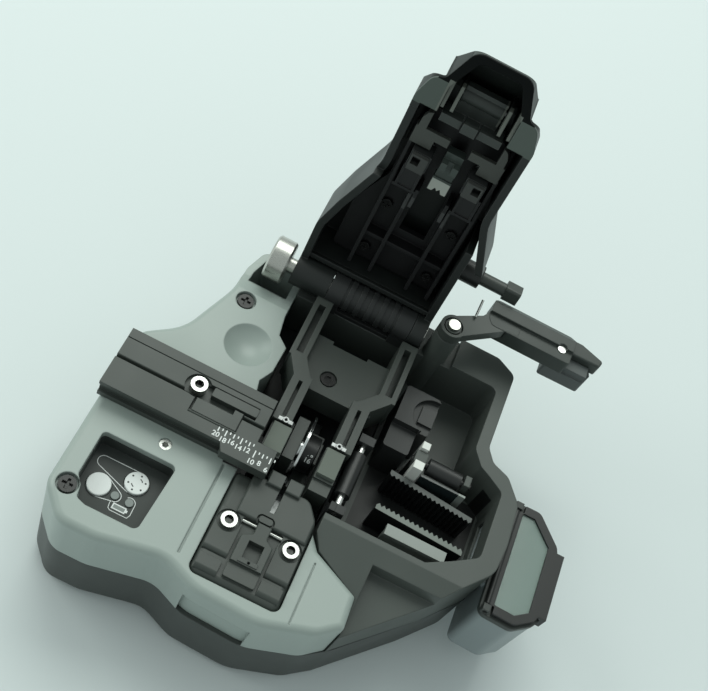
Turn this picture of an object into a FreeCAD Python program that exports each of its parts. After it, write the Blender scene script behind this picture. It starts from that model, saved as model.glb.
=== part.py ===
import FreeCAD, Part
import math
import os

# Hand-held optical fibre cleaver, shown open: the lid is tilted back past
# upright and the side arm points away to the right.
# X runs along the fibre, Y to the hinge at the back, Z up. The origin is on
# the underside, straight below the point where the blade meets the fibre.
# All sizes are in millimetres.

V = FreeCAD.Vector
X_AXIS = V(1, 0, 0)
Y_AXIS = V(0, 1, 0)
Z_AXIS = V(0, 0, 1)

# Running fits and gaps
FIT = 0.05
GAP = 0.15
CLEAR = 0.3

# Levels
MAT_T = 1.6
MAT_RECESS = 0.8
CASE_Z = MAT_T - MAT_RECESS
FLOOR_T = 2.2
FLOOR_Z = CASE_Z + FLOOR_T
CHASSIS_Z = 18.0
CHASSIS_T = 2.0
CHASSIS_TOP = CHASSIS_Z + CHASSIS_T
PART_Z = 20.6
COVER_Z = 37.3
BAY_Z = 39.0
FRAME_Z = 41.0
RIM_Z = 41.5
RAIL_Z = 43.5
WALL = 2.0
BACK_Y = 54.0

# Grey body, seen from above: left edge, then round the front
LEFT_X = -48.4
FRONT_LEFT = (-41.8, -40.2)
BACK_LEFT = (-33.4, 39.0)

# Lid hinge
HINGE_Y = 48.0
HINGE_Z = RIM_Z
LID_OPEN = 100.0
HINGE_PIN_R = 2.0
KNUCKLE_R = 4.4
COLLAR_R = 5.9
COLLAR_X = (-29.2, -23.9)
HINGE_LEFT_X = -22.4
HINGE_RIGHT_X = 15.6
BASE_KNUCKLE = (7.6, 11.8)
SPRING_HALF = 6.6
SPRING_R = 2.85
SPRING_WIRE_R = 0.45
SLEEVE_R = 4.1
SLEEVE_RIBS = 5
GUARD_R = 4.9

# Lid shell
LID_X = 0.3
LID_DEEP = 16.5
LID_TOP = RIM_Z + LID_DEEP
LID_WALL = 1.9
LID_LENGTH = 79.0
LID_SHOULDER = 69.6
LID_TIP_Y = HINGE_Y - LID_LENGTH
LID_HALF = 14.7
LID_WING = 22.4
TAB_TIP_HALF = 6.9
TAB_HALF = 10.3
SHOULDER_Y = HINGE_Y - 61.4
SHOULDER_FRONT_Y = HINGE_Y - LID_SHOULDER
CATCH_HALF = 7.6
FIN_X = 5.5
FIN_STEP = 2.4
FIN_T = 0.8

# Side arm
ARM_X = 20.7
ARM_Y = 47.0
ARM_PIN_R = 1.1
POST_R = 3.4
POST_TOP = 48.0
LINK_Z = (48.3, 51.2)
ARM_Z = (46.2, 52.2)
ARM_BLOCK_X = (28.2, 52.2)
ARM_BLOCK_Y = (53.0, 62.0)
STUB_Y = HINGE_Y - 14.2
STUB_Z = RIM_Z + 14.0
STUB_R = 2.4
STUB_ROD_R = 1.8

# Blade
BLADE_R = 9.0
BLADE_T = 0.6
BLADE_Y = 5.5
BLADE_Z = 32.2
BLADE_STROKE = 12.0
AXLE_R = 1.2
SLIDER_X = (-3.9, -0.9)
DRUM_R = BLADE_R - 4.2
DRUM_X = (BLADE_T / 2, 3.7)
RAIL_W = 6.0
RAIL_H = 3.0

# Lower clamps
PAD_L_X = (-9.0, -4.4)
PAD_R_X = (5.3, 9.9)
PAD_Y = (-2.6, 4.8)
PAD_T = 1.4
UPPER_PAD_T = 1.3

# Fibre adapter rail
ADAPTER_X = (-49.0, -10.4)
ADAPTER_Y = (-8.4, 8.6)
SCALE_END_X = -5.2
ADAPTER_SCREW = (-28.7, 2.4)

# Blade unit cover
UNIT_X = (-11.6, 10.7)
UNIT_Y = (-37.0, -9.6)
UNIT_Z = 37.6

# Feed rollers
ROLLER_X = 13.2
ROLLER_R = 2.0
ROLLER_SHAFT_R = 0.9
ROLLER_Y = (-3.8, 8.2)
ROLLER_NECK = 2.7
ROLLER_Z = 37.8
ROLLER_PITCH = 4.4

# Scrap collector
BOX_Z = (9.0, 29.6)
BOX_WALL = 1.3
BOX_RIM = 1.7
BOX_LID_T = 1.3

# Window with the two buttons
PANEL_Z = 31.3
BUTTON_R = 2.9
LINK_BUTTON = (-38.4, -25.9)
TURN_BUTTON = (-30.9, -21.6)
BUTTON_TRAVEL = 0.4

os.makedirs("parts", exist_ok=True)


def corner(a, b, c, r):
    """Tangent points and middle point of the arc of radius r at b."""
    u = (a - b).normalize()
    w = (c - b).normalize()
    half = u.getAngle(w) / 2.0
    t = r / math.tan(half)
    start = b + u * t
    end = b + w * t
    mid_dir = (u + w).normalize()
    centre = b + mid_dir * (r / math.sin(half))
    return start, centre - mid_dir * r, end


def wire(points, z):
    """Closed outline through (x, y) or (x, y, corner radius) points."""
    pts = [V(p[0], p[1], z) for p in points]
    radii = [p[2] if len(p) > 2 else 0.0 for p in points]
    n = len(pts)
    ends = []
    for i in range(n):
        if radii[i] > 0:
            ends.append(corner(pts[i - 1], pts[i], pts[(i + 1) % n], radii[i]))
        else:
            ends.append((pts[i], None, pts[i]))
    edges = []
    for i in range(n):
        start, mid, end = ends[i]
        if mid is not None:
            edges.append(Part.Arc(start, mid, end).toShape())
        nxt = ends[(i + 1) % n][0]
        if end.distanceToPoint(nxt) > 1e-4:
            edges.append(Part.LineSegment(end, nxt).toShape())
    return Part.Wire(edges)


def inset(points, d):
    """The same outline moved inwards by d, for a counterclockwise outline."""
    n = len(points)
    out = []
    for i in range(n):
        a, b, c = points[i - 1], points[i], points[(i + 1) % n]
        u = (b[0] - a[0], b[1] - a[1])
        w = (c[0] - b[0], c[1] - b[1])
        lu = math.hypot(*u)
        lw = math.hypot(*w)
        nu = (-u[1] / lu, u[0] / lu)
        nw = (-w[1] / lw, w[0] / lw)
        k = 1.0 + nu[0] * nw[0] + nu[1] * nw[1]
        turn = u[0] * w[1] - u[1] * w[0]
        r = b[2] if len(b) > 2 else 0.0
        if r > 0:
            r = max(r - d, 0.3) if turn > 0 else r + d
        out.append((b[0] + d * (nu[0] + nw[0]) / k, b[1] + d * (nu[1] + nw[1]) / k, r))
    return out


def prism(points, z0, z1):
    return Part.Face(wire(points, z0)).extrude(V(0, 0, z1 - z0))


def box(x, y, z):
    return Part.makeBox(x[1] - x[0], y[1] - y[0], z[1] - z[0], V(x[0], y[0], z[0]))


def rod_z(x, y, z, r):
    return Part.makeCylinder(r, z[1] - z[0], V(x, y, z[0]), Z_AXIS)


def rod_x(x, y, z, r):
    return Part.makeCylinder(r, x[1] - x[0], V(x[0], y, z), X_AXIS)


def rod_y(x, y, z, r):
    return Part.makeCylinder(r, y[1] - y[0], V(x, y[0], z), Y_AXIS)


def profile_x(points, x0, x1):
    """Outline of (y, z) points carried along X."""
    pts = [V(x0, p[0], p[1]) for p in points]
    return Part.Face(Part.makePolygon(pts + pts[:1])).extrude(V(x1 - x0, 0, 0))


def profile_y(points, y0, y1):
    """Outline of (x, z) points carried along Y."""
    pts = [V(p[0], y0, p[1]) for p in points]
    return Part.Face(Part.makePolygon(pts + pts[:1])).extrude(V(0, y1 - y0, 0))


def join(first, *others):
    return first.multiFuse(list(others)).removeSplitter()


def cut(shape, *tools):
    return shape.cut(Part.makeCompound(list(tools)))


def group(*solids):
    return Part.makeCompound([s for shape in solids for s in shape.Solids])


def edges_at(shape, test):
    return [e for e in shape.Edges if test(e)]


def flat_edges(shape, z):
    return edges_at(shape, lambda e: all(abs(v.Z - z) < 1e-4 for v in e.Vertexes))


def coil(start, axis, radius, wire_r, length, turns):
    """Coil spring of round wire, from start along axis."""
    helix = Part.makeHelix(length / turns, length, radius)
    ring = Part.Wire(Part.makeCircle(wire_r, V(radius, 0, 0), Y_AXIS))
    spring = Part.Wire(helix.Edges).makePipeShell([ring], True, False)
    spring.Placement = FreeCAD.Placement(start, FreeCAD.Rotation(Z_AXIS, axis))
    return spring


def screw(x, y, top, head_r, head_h, shank_r, shank_l, drive):
    """Vertical screw with its head top at the given level."""
    head = rod_z(x, y, (top - head_h, top), head_r)
    shank = rod_z(x, y, (top - head_h - shank_l, top - head_h), shank_r)
    body = join(head, shank)
    depth = head_h * 0.6
    if drive == "cross":
        arm = head_r * 0.62
        slot = head_r * 0.16
        a = box((x - arm, x + arm), (y - slot, y + slot), (top - depth, top))
        b = box((x - slot, x + slot), (y - arm, y + arm), (top - depth, top))
        return cut(body, a, b)
    six = [(x + head_r * 0.55 * math.cos(math.radians(60 * k)),
            y + head_r * 0.55 * math.sin(math.radians(60 * k))) for k in range(6)]
    return cut(body, prism(six, top - depth, top))


def opened(shape):
    """Turns a piece drawn on the closed lid to its open place."""
    out = shape.copy()
    out.rotate(V(0, HINGE_Y, HINGE_Z), X_AXIS, -LID_OPEN)
    return out


def save(name, shape):
    shape.exportStep("parts/" + name + ".step")


# Outlines, all counterclockwise seen from above
CASE = [
    (BACK_LEFT[0] + 2.4, BACK_Y, 3.0), (BACK_LEFT[0], BACK_LEFT[1] + 7.0, 6.0),
    (BACK_LEFT[0] - 0.3, 37.0, 20.0), (-39.6, 19.6, 14.0), (LEFT_X, 12.6, 5.0),
    (LEFT_X, -33.0, 6.0), (FRONT_LEFT[0], FRONT_LEFT[1], 5.5), (-33.0, -40.2, 12.0),
    (-17.2, -36.9, 9.0), (-8.5, -40.6, 12.0), (7.5, -41.4, 16.0),
    (20.8, -37.2, 8.0), (27.2, -32.6, 6.0), (44.6, -15.6, 12.0),
    (54.0, -5.0, 6.0), (54.9, 4.0, 14.0), (52.8, 15.0, 4.0),
    (44.2, 21.2, 3.5), (42.6, 25.0, 3.0), (42.6, BACK_Y - 3.0, 2.5),
    (37.0, BACK_Y, 3.0),
]

# Border of the grey cover against the black housing, from back to front
BORDER = [(-18.6, 35.6), (-17.6, 29.6), (-14.6, 27.0), (-14.9, 19.0), (-16.8, 15.0), (-15.6, 9.2)]

WINDOW = [
    (-43.0, -16.0, 1.2), (-43.0, -28.2, 1.2), (-41.2, -30.4, 1.0), (-40.6, -33.4, 1.0),
    (-38.2, -34.2, 0.8), (-25.4, -34.2, 1.6), (-24.2, -16.0, 1.4),
]


def cover_outline():
    left = CASE[:12]
    front = [(26.0, -33.0, 1.5), (25.6, -24.6, 0.6), (13.6, -18.8, 0.6),
             (UNIT_X[1] + GAP, -15.0), (UNIT_X[1] + GAP, UNIT_Y[1] + GAP),
             (-15.6, UNIT_Y[1] + GAP)]
    back = [(p[0], p[1]) for p in reversed(BORDER)]
    return left + front + back + [(-18.6, BACK_Y - 1.5)]


def housing_outline():
    """Outer outline of the black upper housing."""
    right = [(25.6 + GAP, -24.6 + 0.1), (26.0 + GAP, -33.4)]
    right += [(44.6, -15.6, 12.0), (54.2, -4.4, 6.0), (55.0, 4.0, 14.0), (54.4, 15.6, 4.0),
              (49.8, 21.6, 3.5), (45.0, 23.4, 3.0), (42.6, 27.0, 3.0), (42.6, BACK_Y - 3.0, 2.5),
              (37.0, BACK_Y, 3.0), (-18.6 + GAP, BACK_Y), (-18.6 + GAP, 36.0)]
    left = [(11.2, 36.0), (11.2, -9.4 + GAP), (11.2, -14.8), (13.6 + GAP, -18.8 + GAP)]
    return right + left


# Two cells end to wall on the right, over the door in the underside
CELL_R = 5.25
CELL_L = 44.5
CELL_END_X = 49.1
CELL_X = CELL_END_X - CELL_L
CELL_YS = (-1.8, 9.8)
DOOR_X = (CELL_X + 2.4, CELL_END_X - 1.1)
DOOR_Y = (CELL_YS[0] - 7.2, CELL_YS[1] + 7.2)
FEET = [(33.0, 41.0), (20.0, -27.0)]
FOOT_R = 4.5


def make_mat():
    right = DOOR_X[0] - 3.0
    edge = [(-30.5, 44.0, 4.0), (-30.5, 38.0, 8.0), (-36.0, 17.0, 8.0), (-43.6, 9.0, 4.0),
            (-43.6, -31.0, 4.0), (-38.0, -35.4, 4.0), (-17.0, -32.4, 8.0),
            (-8.0, -35.8, 8.0), (right, -36.4, 3.0), (right, 44.0, 3.0)]
    mat = prism(edge, 0.0, MAT_T)
    grooves = [box((-42.0, right - 1.0), (y, y + 1.2), (0.0, 0.5)) for y in range(-28, -3, 4)]
    grooves += [box((-29.0, right - 1.0), (y, y + 1.2), (0.0, 0.5)) for y in range(8, 40, 4)]
    feet = [rod_z(x, y, (0.0, MAT_T), FOOT_R) for x, y in FEET]
    return edge, group(cut(mat, *grooves), *feet)


MAT_EDGE, MAT = make_mat()
CASE_SCREWS = [(-29.3, 34.6), (-44.8 + 0.9, -32.3 + 0.9)]
POSTS = [(-14.5, -31.5), (-14.0, 48.5), (38.0, 47.0), (34.0, -17.5)]


def make_lower_case():
    outer = prism(CASE, CASE_Z, PART_Z)
    outer = outer.makeFillet(3.0, flat_edges(outer, CASE_Z))
    case = cut(outer, prism(inset(CASE, WALL), FLOOR_Z, PART_Z))
    seats = [rod_z(x, y, (CASE_Z - 1.0, MAT_T), FOOT_R) for x, y in FEET]
    case = cut(case, prism(MAT_EDGE, CASE_Z - 1.0, MAT_T),
               box(DOOR_X, DOOR_Y, (0.0, FLOOR_Z)), *seats)
    posts = [rod_z(x, y, (FLOOR_Z, CHASSIS_Z), 3.2) for x, y in POSTS]
    posts += [rod_z(x, y, (FLOOR_Z, PART_Z), 3.0) for x, y in CASE_SCREWS]
    posts += [rod_z(x, y, (FLOOR_Z, BOARD_Z), 2.0) for x, y in BOARD_POSTS]
    case = join(case, *posts)
    holes = [rod_z(x, y, (FLOOR_Z + 4.0, PART_Z), 1.1 + FIT) for x, y in CASE_SCREWS]
    return cut(case, *holes)


BOARD_Z = 21.0
BOARD_T = 1.6
BOARD_X = (-44.5, -20.5)
BOARD_Y = (-34.0, 8.0)
BOARD_POSTS = [(-41.0, 5.0), (-24.0, -31.0), (-24.0, 5.0)]


def make_circuit_board():
    board = box(BOARD_X, BOARD_Y, (BOARD_Z, BOARD_Z + BOARD_T))
    top = BOARD_Z + BOARD_T
    chips = [box((-40.0, -33.0), (-12.0, -5.0), (top, top + 1.2)),
             box((-30.0, -24.0), (-8.0, -4.0), (top, top + 1.0)),
             box((-31.0, -23.0), (-2.0, 3.0), (top, top + 2.4))]
    for x, y in (LINK_BUTTON, TURN_BUTTON):
        chips.append(box((x - 1.6, x + 1.6), (y - 1.6, y + 1.6), (top, top + 2.0)))
    notch = rod_z(CASE_SCREWS[1][0], CASE_SCREWS[1][1], (BOARD_Z, top), 3.6)
    return cut(join(board, *chips), notch)


def make_battery_door():
    door = box((DOOR_X[0] + GAP, DOOR_X[1] - GAP), (DOOR_Y[0] + GAP, DOOR_Y[1] - GAP),
               (CASE_Z, FLOOR_Z))
    grip = [box((x, x + 1.0), (-3.0, 11.0), (CASE_Z, CASE_Z + 0.6)) for x in (40, 42, 44)]
    return cut(door, *grip)


def make_cells():
    cells = []
    z = FLOOR_Z + CELL_R + 0.4
    for y in CELL_YS:
        body = rod_x((CELL_X, CELL_X + CELL_L - 1.0), y, z, CELL_R)
        tip = rod_x((CELL_X + CELL_L - 1.0, CELL_X + CELL_L), y, z, 1.9)
        cells.append(join(body, tip))
    return group(*cells)


def make_contacts():
    z = FLOOR_Z + CELL_R + 0.4
    y0 = CELL_YS[0] - 4.0
    y1 = CELL_YS[1] + 4.0
    x = CELL_END_X + 0.1
    return group(box((CELL_X - 0.6, CELL_X - 0.1), (y0, y1), (FLOOR_Z, z + 4.0)),
                 box((x, x + 0.5), (y0, CELL_YS[0] + 4.0), (FLOOR_Z, z + 4.0)),
                 box((x, x + 0.5), (CELL_YS[1] - 4.0, y1), (FLOOR_Z, z + 4.0)))


def make_chassis():
    edge = [(-18.0, 46.5), (-18.0, -33.0), (-8.0, -35.8), (14.0, -35.8), (21.5, -31.0),
            (40.0, -14.0), (49.5, -3.5), (50.0, 12.0), (40.4, 20.0), (39.8, 50.0), (-18.0, 51.0)]
    plate = prism(edge, CHASSIS_Z, CHASSIS_TOP)
    holes = [box((22.0, 36.0), (-6.0, 12.0), (CHASSIS_Z, CHASSIS_TOP))]
    return cut(plate, *holes)


def make_upper_cover():
    outline = cover_outline()
    shell = prism(outline, PART_Z, COVER_Z)
    rim = [e for e in flat_edges(shell, COVER_Z) if is_outer(e)]
    shell = shell.makeFillet(1.8, rim)
    shell = cut(shell, prism(inset(outline, WALL), PART_Z - 1.0, COVER_Z - WALL))
    dish = Part.makeSphere(DIMPLE_SPHERE + 1.2, V(DIMPLE[0], DIMPLE[1], DIMPLE_C))
    dish = dish.common(rod_z(DIMPLE[0], DIMPLE[1], (COVER_Z - 6.0, COVER_Z - 1.0), 8.0))
    bosses = [rod_z(x, y, (PART_Z, COVER_Z - 1.0), 3.0) for x, y in CASE_SCREWS]
    bosses.append(rod_z(ADJUST[0], ADJUST[1], (30.0, COVER_Z - 1.0), 2.5))
    shell = join(shell, dish, *bosses)
    tools = [Part.makeSphere(DIMPLE_SPHERE, V(DIMPLE[0], DIMPLE[1], DIMPLE_C)),
             prism(WINDOW, PANEL_Z, COVER_Z + 1.0),
             box((UNIT_X[0] - GAP, UNIT_X[1] + 5.0), (UNIT_Y[0] - GAP, UNIT_Y[1] + 5.0),
                 (PART_Z, COVER_Z + 1.0)).common(
                 prism([(UNIT_X[0] - GAP, UNIT_Y[0] - GAP, 2.0), (UNIT_X[1] + GAP, UNIT_Y[0] - GAP, 2.0),
                        (UNIT_X[1] + GAP, UNIT_Y[1] + 5.0), (UNIT_X[0] - GAP, UNIT_Y[1] + 5.0)],
                       PART_Z, COVER_Z + 1.0))]
    for x, y in CASE_SCREWS:
        tools.append(rod_z(x, y, (COVER_Z - 1.5, COVER_Z + 1.0), 2.7))
        tools.append(rod_z(x, y, (PART_Z, COVER_Z), 1.1 + FIT))
    tools.append(rod_z(ADJUST[0], ADJUST[1], (29.0, COVER_Z + 1.0), 1.5 + FIT))
    tools.append(profile_x([(37.5, COVER_Z), (44.0, 34.4), (60.0, 34.4), (60.0, 45.0), (37.5, 45.0)], -60.0, 0.0))
    tools.append(rod_x((COLLAR_X[0] - 0.6, 0.0), HINGE_Y, HINGE_Z, COLLAR_R + 0.5))
    tools.append(box((-15.3, -14.7), (-34.4, UNIT_Y[1] - 0.3), (COVER_Z - 0.5, COVER_Z + 1.0)))
    tools.append(box((13.8, 14.2), (-38.0, -22.0), (COVER_Z - 0.3, COVER_Z + 1.0)))
    band = cut(prism(outline, PART_Z - 1.0, PORT_TOP), prism(inset(outline, PORT_DEEP), PART_Z - 2.0, PORT_TOP + 1.0))
    tools.append(band.common(box(PORT_X, (-60.0, -30.0), (PART_Z - 1.0, PORT_TOP))))
    return cut(shell, *tools)


DIMPLE = (-23.4, 22.8)
DIMPLE_R = 6.2
DIMPLE_DEEP = 2.6
DIMPLE_SPHERE = (DIMPLE_R ** 2 + DIMPLE_DEEP ** 2) / (2 * DIMPLE_DEEP)
DIMPLE_C = COVER_Z - DIMPLE_DEEP + DIMPLE_SPHERE
ADJUST = (-29.2, -12.0)
PORT_X = (-9.8, 7.4)
PORT_TOP = 30.6
PORT_DEEP = 1.1


def is_outer(edge):
    """True for a top edge of the cover that lies on the outside of the case."""
    p = edge.valueAt((edge.FirstParameter + edge.LastParameter) / 2.0)
    return p.y < -33.5 or p.x < -30.0


def make_bay_housing():
    outer = prism(housing_outline(), PART_Z, BAY_Z)
    cavity = [(5.0, 60.0), (5.0, -10.1), (37.4, -10.1, 1.0), (43.4, -6.6, 2.0),
              (49.6, -2.4, 2.5), (49.6, 16.6, 2.0), (45.4, 19.2, 1.5), (42.4, 20.8, 1.5), (39.4, 25.0, 3.0),
              (39.4, 44.6, 2.0), (26.0, 44.6), (26.0, 60.0)]
    gap_back = box((-19.0, 16.3), (21.4, 60.0), (PART_Z - 1.0, BAY_Z + 1.0))
    gap_left = box((-19.0, 11.45), (-9.4, 60.0), (PART_Z - 1.0, BAY_Z + 1.0))
    body = cut(outer, prism(cavity, PART_Z + WALL, BAY_Z + 1.0), gap_back, gap_left)
    slope = profile_x([(-11.6, BAY_Z), (-11.6, BAY_Z + 2.0), (-40.0, BAY_Z + 2.0), (-40.0, 30.4)],
                      5.0, 60.0)
    step = profile_x([(STEP_Y, STEP_Z), (STEP_Y, BAY_Z + 2.0), (-45.0, BAY_Z + 2.0), (-45.0, STEP_Z - 4.0)],
                     STEP_X, 60.0)
    hollow = [(13.6, -17.0), (27.6, -23.4), (27.6, -30.2), (43.6, -14.4), (46.0, -11.8), (13.6, -11.8)]
    body = cut(body, slope, step, prism(hollow, PART_Z - 1.0, STEP_Z - 6.2))
    window = box((46.0, 60.0), NECK_Y, NECK_Z)
    back = box((-30.0, 16.5), (40.0, 60.0), (36.0, BAY_Z + 1.0))
    body = cut(body, window)
    strip = box((-18.6 + GAP, 16.4), (44.6, BACK_Y), (PART_Z, 35.6))
    trough = rod_x((-30.0, 16.4), HINGE_Y, HINGE_Z, COLLAR_R + 0.5)
    strip = cut(strip, trough, back)
    post = rod_z(ARM_X, ARM_Y, (PART_Z, POST_TOP), POST_R)
    slab = box((16.4, 26.0), (44.6, BACK_Y), (PART_Z, BAY_Z - 2.0))
    bearings = [box((26.2, 29.4), (14.8, 18.2), (PART_Z, SCRAP_Z + 2.4)),
                box((40.2, 41.8), (15.0, 18.0), (PART_Z, SCRAP_Z + 2.2))]
    body = join(body, strip, slab, post, *bearings)
    return cut(body, rod_z(ARM_X, ARM_Y, (30.0, POST_TOP + 1.0), ARM_PIN_R),
               rod_x((-30.0, 16.4), HINGE_Y, HINGE_Z, COLLAR_R + 0.5),
               rod_x((20.0, 43.0), SCRAP_Y, SCRAP_Z, SCRAP_SHAFT_R + FIT))


STEP_X = 26.4
STEP_Y = -16.0
STEP_Z = 33.4
NECK_Y = (-3.0, 12.0)
NECK_Z = (26.6, 31.0)


def make_panel():
    rim = prism(inset(WINDOW, -1.3), PANEL_Z - 1.5, COVER_Z - WALL)
    boss = rod_z(CASE_SCREWS[1][0], CASE_SCREWS[1][1], (PANEL_Z - 2.0, COVER_Z), 3.0 + FIT)
    tray = cut(rim, prism(inset(WINDOW, 0.1), PANEL_Z, COVER_Z), boss)
    holes = [rod_z(x, y, (PANEL_Z - 2.0, PANEL_Z + 1.0), BUTTON_R + GAP)
             for x, y in (LINK_BUTTON, TURN_BUTTON)]
    legs = [rod_z(-42.0, -20.0, (BOARD_Z + BOARD_T, PANEL_Z - 1.5), 1.2),
            rod_z(-26.0, -30.5, (BOARD_Z + BOARD_T, PANEL_Z - 1.5), 1.2),
            rod_z(-26.0, -18.0, (BOARD_Z + BOARD_T, PANEL_Z - 1.5), 1.2)]
    return join(cut(tray, *holes), *legs)


def make_button(place):
    x, y = place
    cap = rod_z(x, y, (PANEL_Z - 0.9, PANEL_Z + 0.7), BUTTON_R)
    cap = cap.makeFillet(0.3, flat_edges(cap, PANEL_Z + 0.7))
    stem = rod_z(x, y, (BOARD_Z + BOARD_T + 2.0 + BUTTON_TRAVEL + 0.1, PANEL_Z - 0.9), 1.1)
    return join(cap, stem)


def make_lights():
    spots = ((-33.9, -26.6), (-30.2, -26.7))
    return group(*[rod_z(x, y, (PANEL_Z, PANEL_Z + 0.35), 1.0) for x, y in spots])


def make_black_screws():
    screws = [screw(x, y, COVER_Z - 0.4, 2.1, 1.1, 1.1, 14.0, "cross") for x, y in CASE_SCREWS]
    return group(make_frame_screw(), *screws)


def make_adjust_screw():
    x, y = ADJUST
    six = [(x + 0.8 * math.cos(math.radians(60 * k)), y + 0.8 * math.sin(math.radians(60 * k)))
           for k in range(6)]
    return cut(rod_z(x, y, (31.0, COVER_Z - 0.5), 1.5), prism(six, COVER_Z - 2.5, COVER_Z))


def make_clamp_frame():
    z = (30.0, FRAME_Z)
    arms = [box((-13.5, -8.9), (24.0, 43.6), z), box((11.4, 16.0), (24.0, 43.0), z),
            box((-10.0, -5.2), (5.4, 20.0), z), box((6.2, 11.0), (5.4, 20.0), z),
            prism([(-10.0, 19.0), (-5.2, 19.0), (-8.9, 25.0), (-13.5, 25.0)], z[0], z[1]),
            prism([(6.2, 19.0), (11.0, 19.0), (16.0, 25.0), (11.4, 25.0)], z[0], z[1]),
            box((-9.6, 11.8), (19.0, 35.0), (z[0], 38.0)),
            box((-9.4, -4.2), (-3.4, 5.4), (z[0], FRAME_Z - PAD_T)),
            box((5.1, 10.1), (-3.4, 5.4), (z[0], FRAME_Z - PAD_T)),
            box((5.1, 10.1), (-6.6, -3.3), (z[0], FRAME_Z - 2.2))]
    base = CHASSIS_TOP
    legs = [box((-13.5, -9.5), (34.0, 43.0), (base, z[0])), box((11.6, 16.0), (34.0, 43.0), (base, z[0])),
            box((-9.4, -5.0), (-3.4, 3.0), (base, z[0])), box((5.6, 10.1), (-3.4, 3.0), (base, z[0]))]
    body = join(*arms, *legs)
    tools = [box((-12.1, -10.3), (25.5, 41.5), (FRAME_Z - 3.0, FRAME_Z + 1.0)),
             box((12.8, 14.6), (25.5, 41.0), (FRAME_Z - 3.0, FRAME_Z + 1.0)),
             box((-8.1, -7.1), (7.0, 18.0), (FRAME_Z - 2.6, FRAME_Z + 1.0)),
             box((8.1, 9.1), (7.0, 18.0), (FRAME_Z - 2.6, FRAME_Z + 1.0)),
             rod_z(FRAME_SCREW[0], FRAME_SCREW[1], (37.0, 42.0), 2.3),
             rod_z(FRAME_SCREW[0], FRAME_SCREW[1], (29.0, 42.0), 1.0 + FIT),
             box((-4.4, 5.4), (34.0, 36.0), (36.5, 42.0))]
    return cut(body, *tools)


FRAME_SCREW = (-1.6, 24.0)


def make_frame_screw():
    return screw(FRAME_SCREW[0], FRAME_SCREW[1], 37.9, 1.9, 0.9, 1.0, 6.0, "hex")


def make_lower_pads():
    z = (FRAME_Z - PAD_T, FRAME_Z - 0.1)
    return group(box(PAD_L_X, PAD_Y, z), box(PAD_R_X, PAD_Y, z))


def make_pad_clips():
    """Small leaf with an eye at the back end of each lower pad."""
    clips = []
    y = PAD_Y[1] + 1.1
    for x in (sum(PAD_L_X) / 2.0, sum(PAD_R_X) / 2.0):
        leaf = box((x - 1.9, x + 1.9), (y - 0.5, y + 0.5), (FRAME_Z, FRAME_Z + 0.25))
        eye = rod_z(x, y, (FRAME_Z, FRAME_Z + 0.6), 0.8)
        clips.append(cut(join(leaf, eye), rod_z(x, y, (FRAME_Z - 0.1, FRAME_Z + 1.0), 0.4)))
    return group(*clips)


def make_guide_rail():
    half = RAIL_W / 2.0
    rail = box((-half, half), (-21.0, 20.0), (CHASSIS_TOP, CHASSIS_TOP + RAIL_H))
    sides = [box((s * half - 0.6, s * half + 0.6), (-21.0, 20.0),
                 (CHASSIS_TOP + 1.0, CHASSIS_TOP + 1.8)) for s in (-1, 1)]
    return cut(rail, *sides)


def make_carriage():
    half = RAIL_W / 2.0
    top = CHASSIS_TOP + RAIL_H + 0.1
    y = (BLADE_Y - 8.5, BLADE_Y + 8.5)
    body = box((-4.6, 4.6), y, (top, 28.0))
    skirts = [box((-4.6, -half - 0.1), y, (CHASSIS_TOP + 0.2, top)),
              box((half + 0.1, 4.6), y, (CHASSIS_TOP + 0.2, top))]
    slider = box(SLIDER_X, (BLADE_Y - 6.2, BLADE_Y + 5.8), (top, UNIT_Z - 0.6))
    cheek = box((DRUM_X[1] + CLEAR, 4.6), (BLADE_Y - 3.0, BLADE_Y + 3.0), (top, BLADE_Z + 2.0))
    body = join(body, slider, cheek, *skirts)
    slot = rod_x((SLIDER_X[1], BLADE_T / 2 + CLEAR), BLADE_Y, BLADE_Z, BLADE_R + 0.4)
    drum_seat = rod_x((0.0, DRUM_X[1] + CLEAR), BLADE_Y, BLADE_Z, DRUM_R + 0.4)
    bore = rod_x((-5.0, 5.0), BLADE_Y, BLADE_Z, AXLE_R + FIT)
    return cut(body, slot, drum_seat, bore)


def make_blade():
    """Round blade with the drum that carries the position numbers."""
    disc = rod_x((-BLADE_T / 2, BLADE_T / 2), BLADE_Y, BLADE_Z, BLADE_R)
    hub = rod_x((-0.7, BLADE_T / 2), BLADE_Y, BLADE_Z, 3.2)
    drum = rod_x(DRUM_X, BLADE_Y, BLADE_Z, DRUM_R)
    axle = rod_x((SLIDER_X[0] + 0.1, 4.5), BLADE_Y, BLADE_Z, AXLE_R)
    return join(disc, hub, drum, axle)


def make_turn_motor():
    can = rod_x((-16.5, -6.5), -24.0, CHASSIS_TOP + 4.6, 4.2)
    nose = rod_x((-6.5, -5.2), -24.0, CHASSIS_TOP + 4.6, 1.2)
    cradle = box((-15.0, -8.0), (-27.0, -21.0), (CHASSIS_TOP, CHASSIS_TOP + 2.4))
    return join(can, nose, cradle)


UNIT_SCREWS = [(-8.2, -22.6), (7.5, -22.7)]
UNIT_FLOOR = 32.4
UNIT_WALL = 1.8
UNIT_PLATE_T = 1.6
UNIT_PLATE_Y = -20.0
UNIT_SCREW_R = 2.0
UNIT_BLOCK_X = (-4.2, 3.6)
UNIT_PIN_Y = -20.8
UNIT_PIN_R = 0.45
LIP_X = (-4.3, 4.3)
LIP_Y = (-10.6, -6.8)
LIP_T = 2.5


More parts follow.
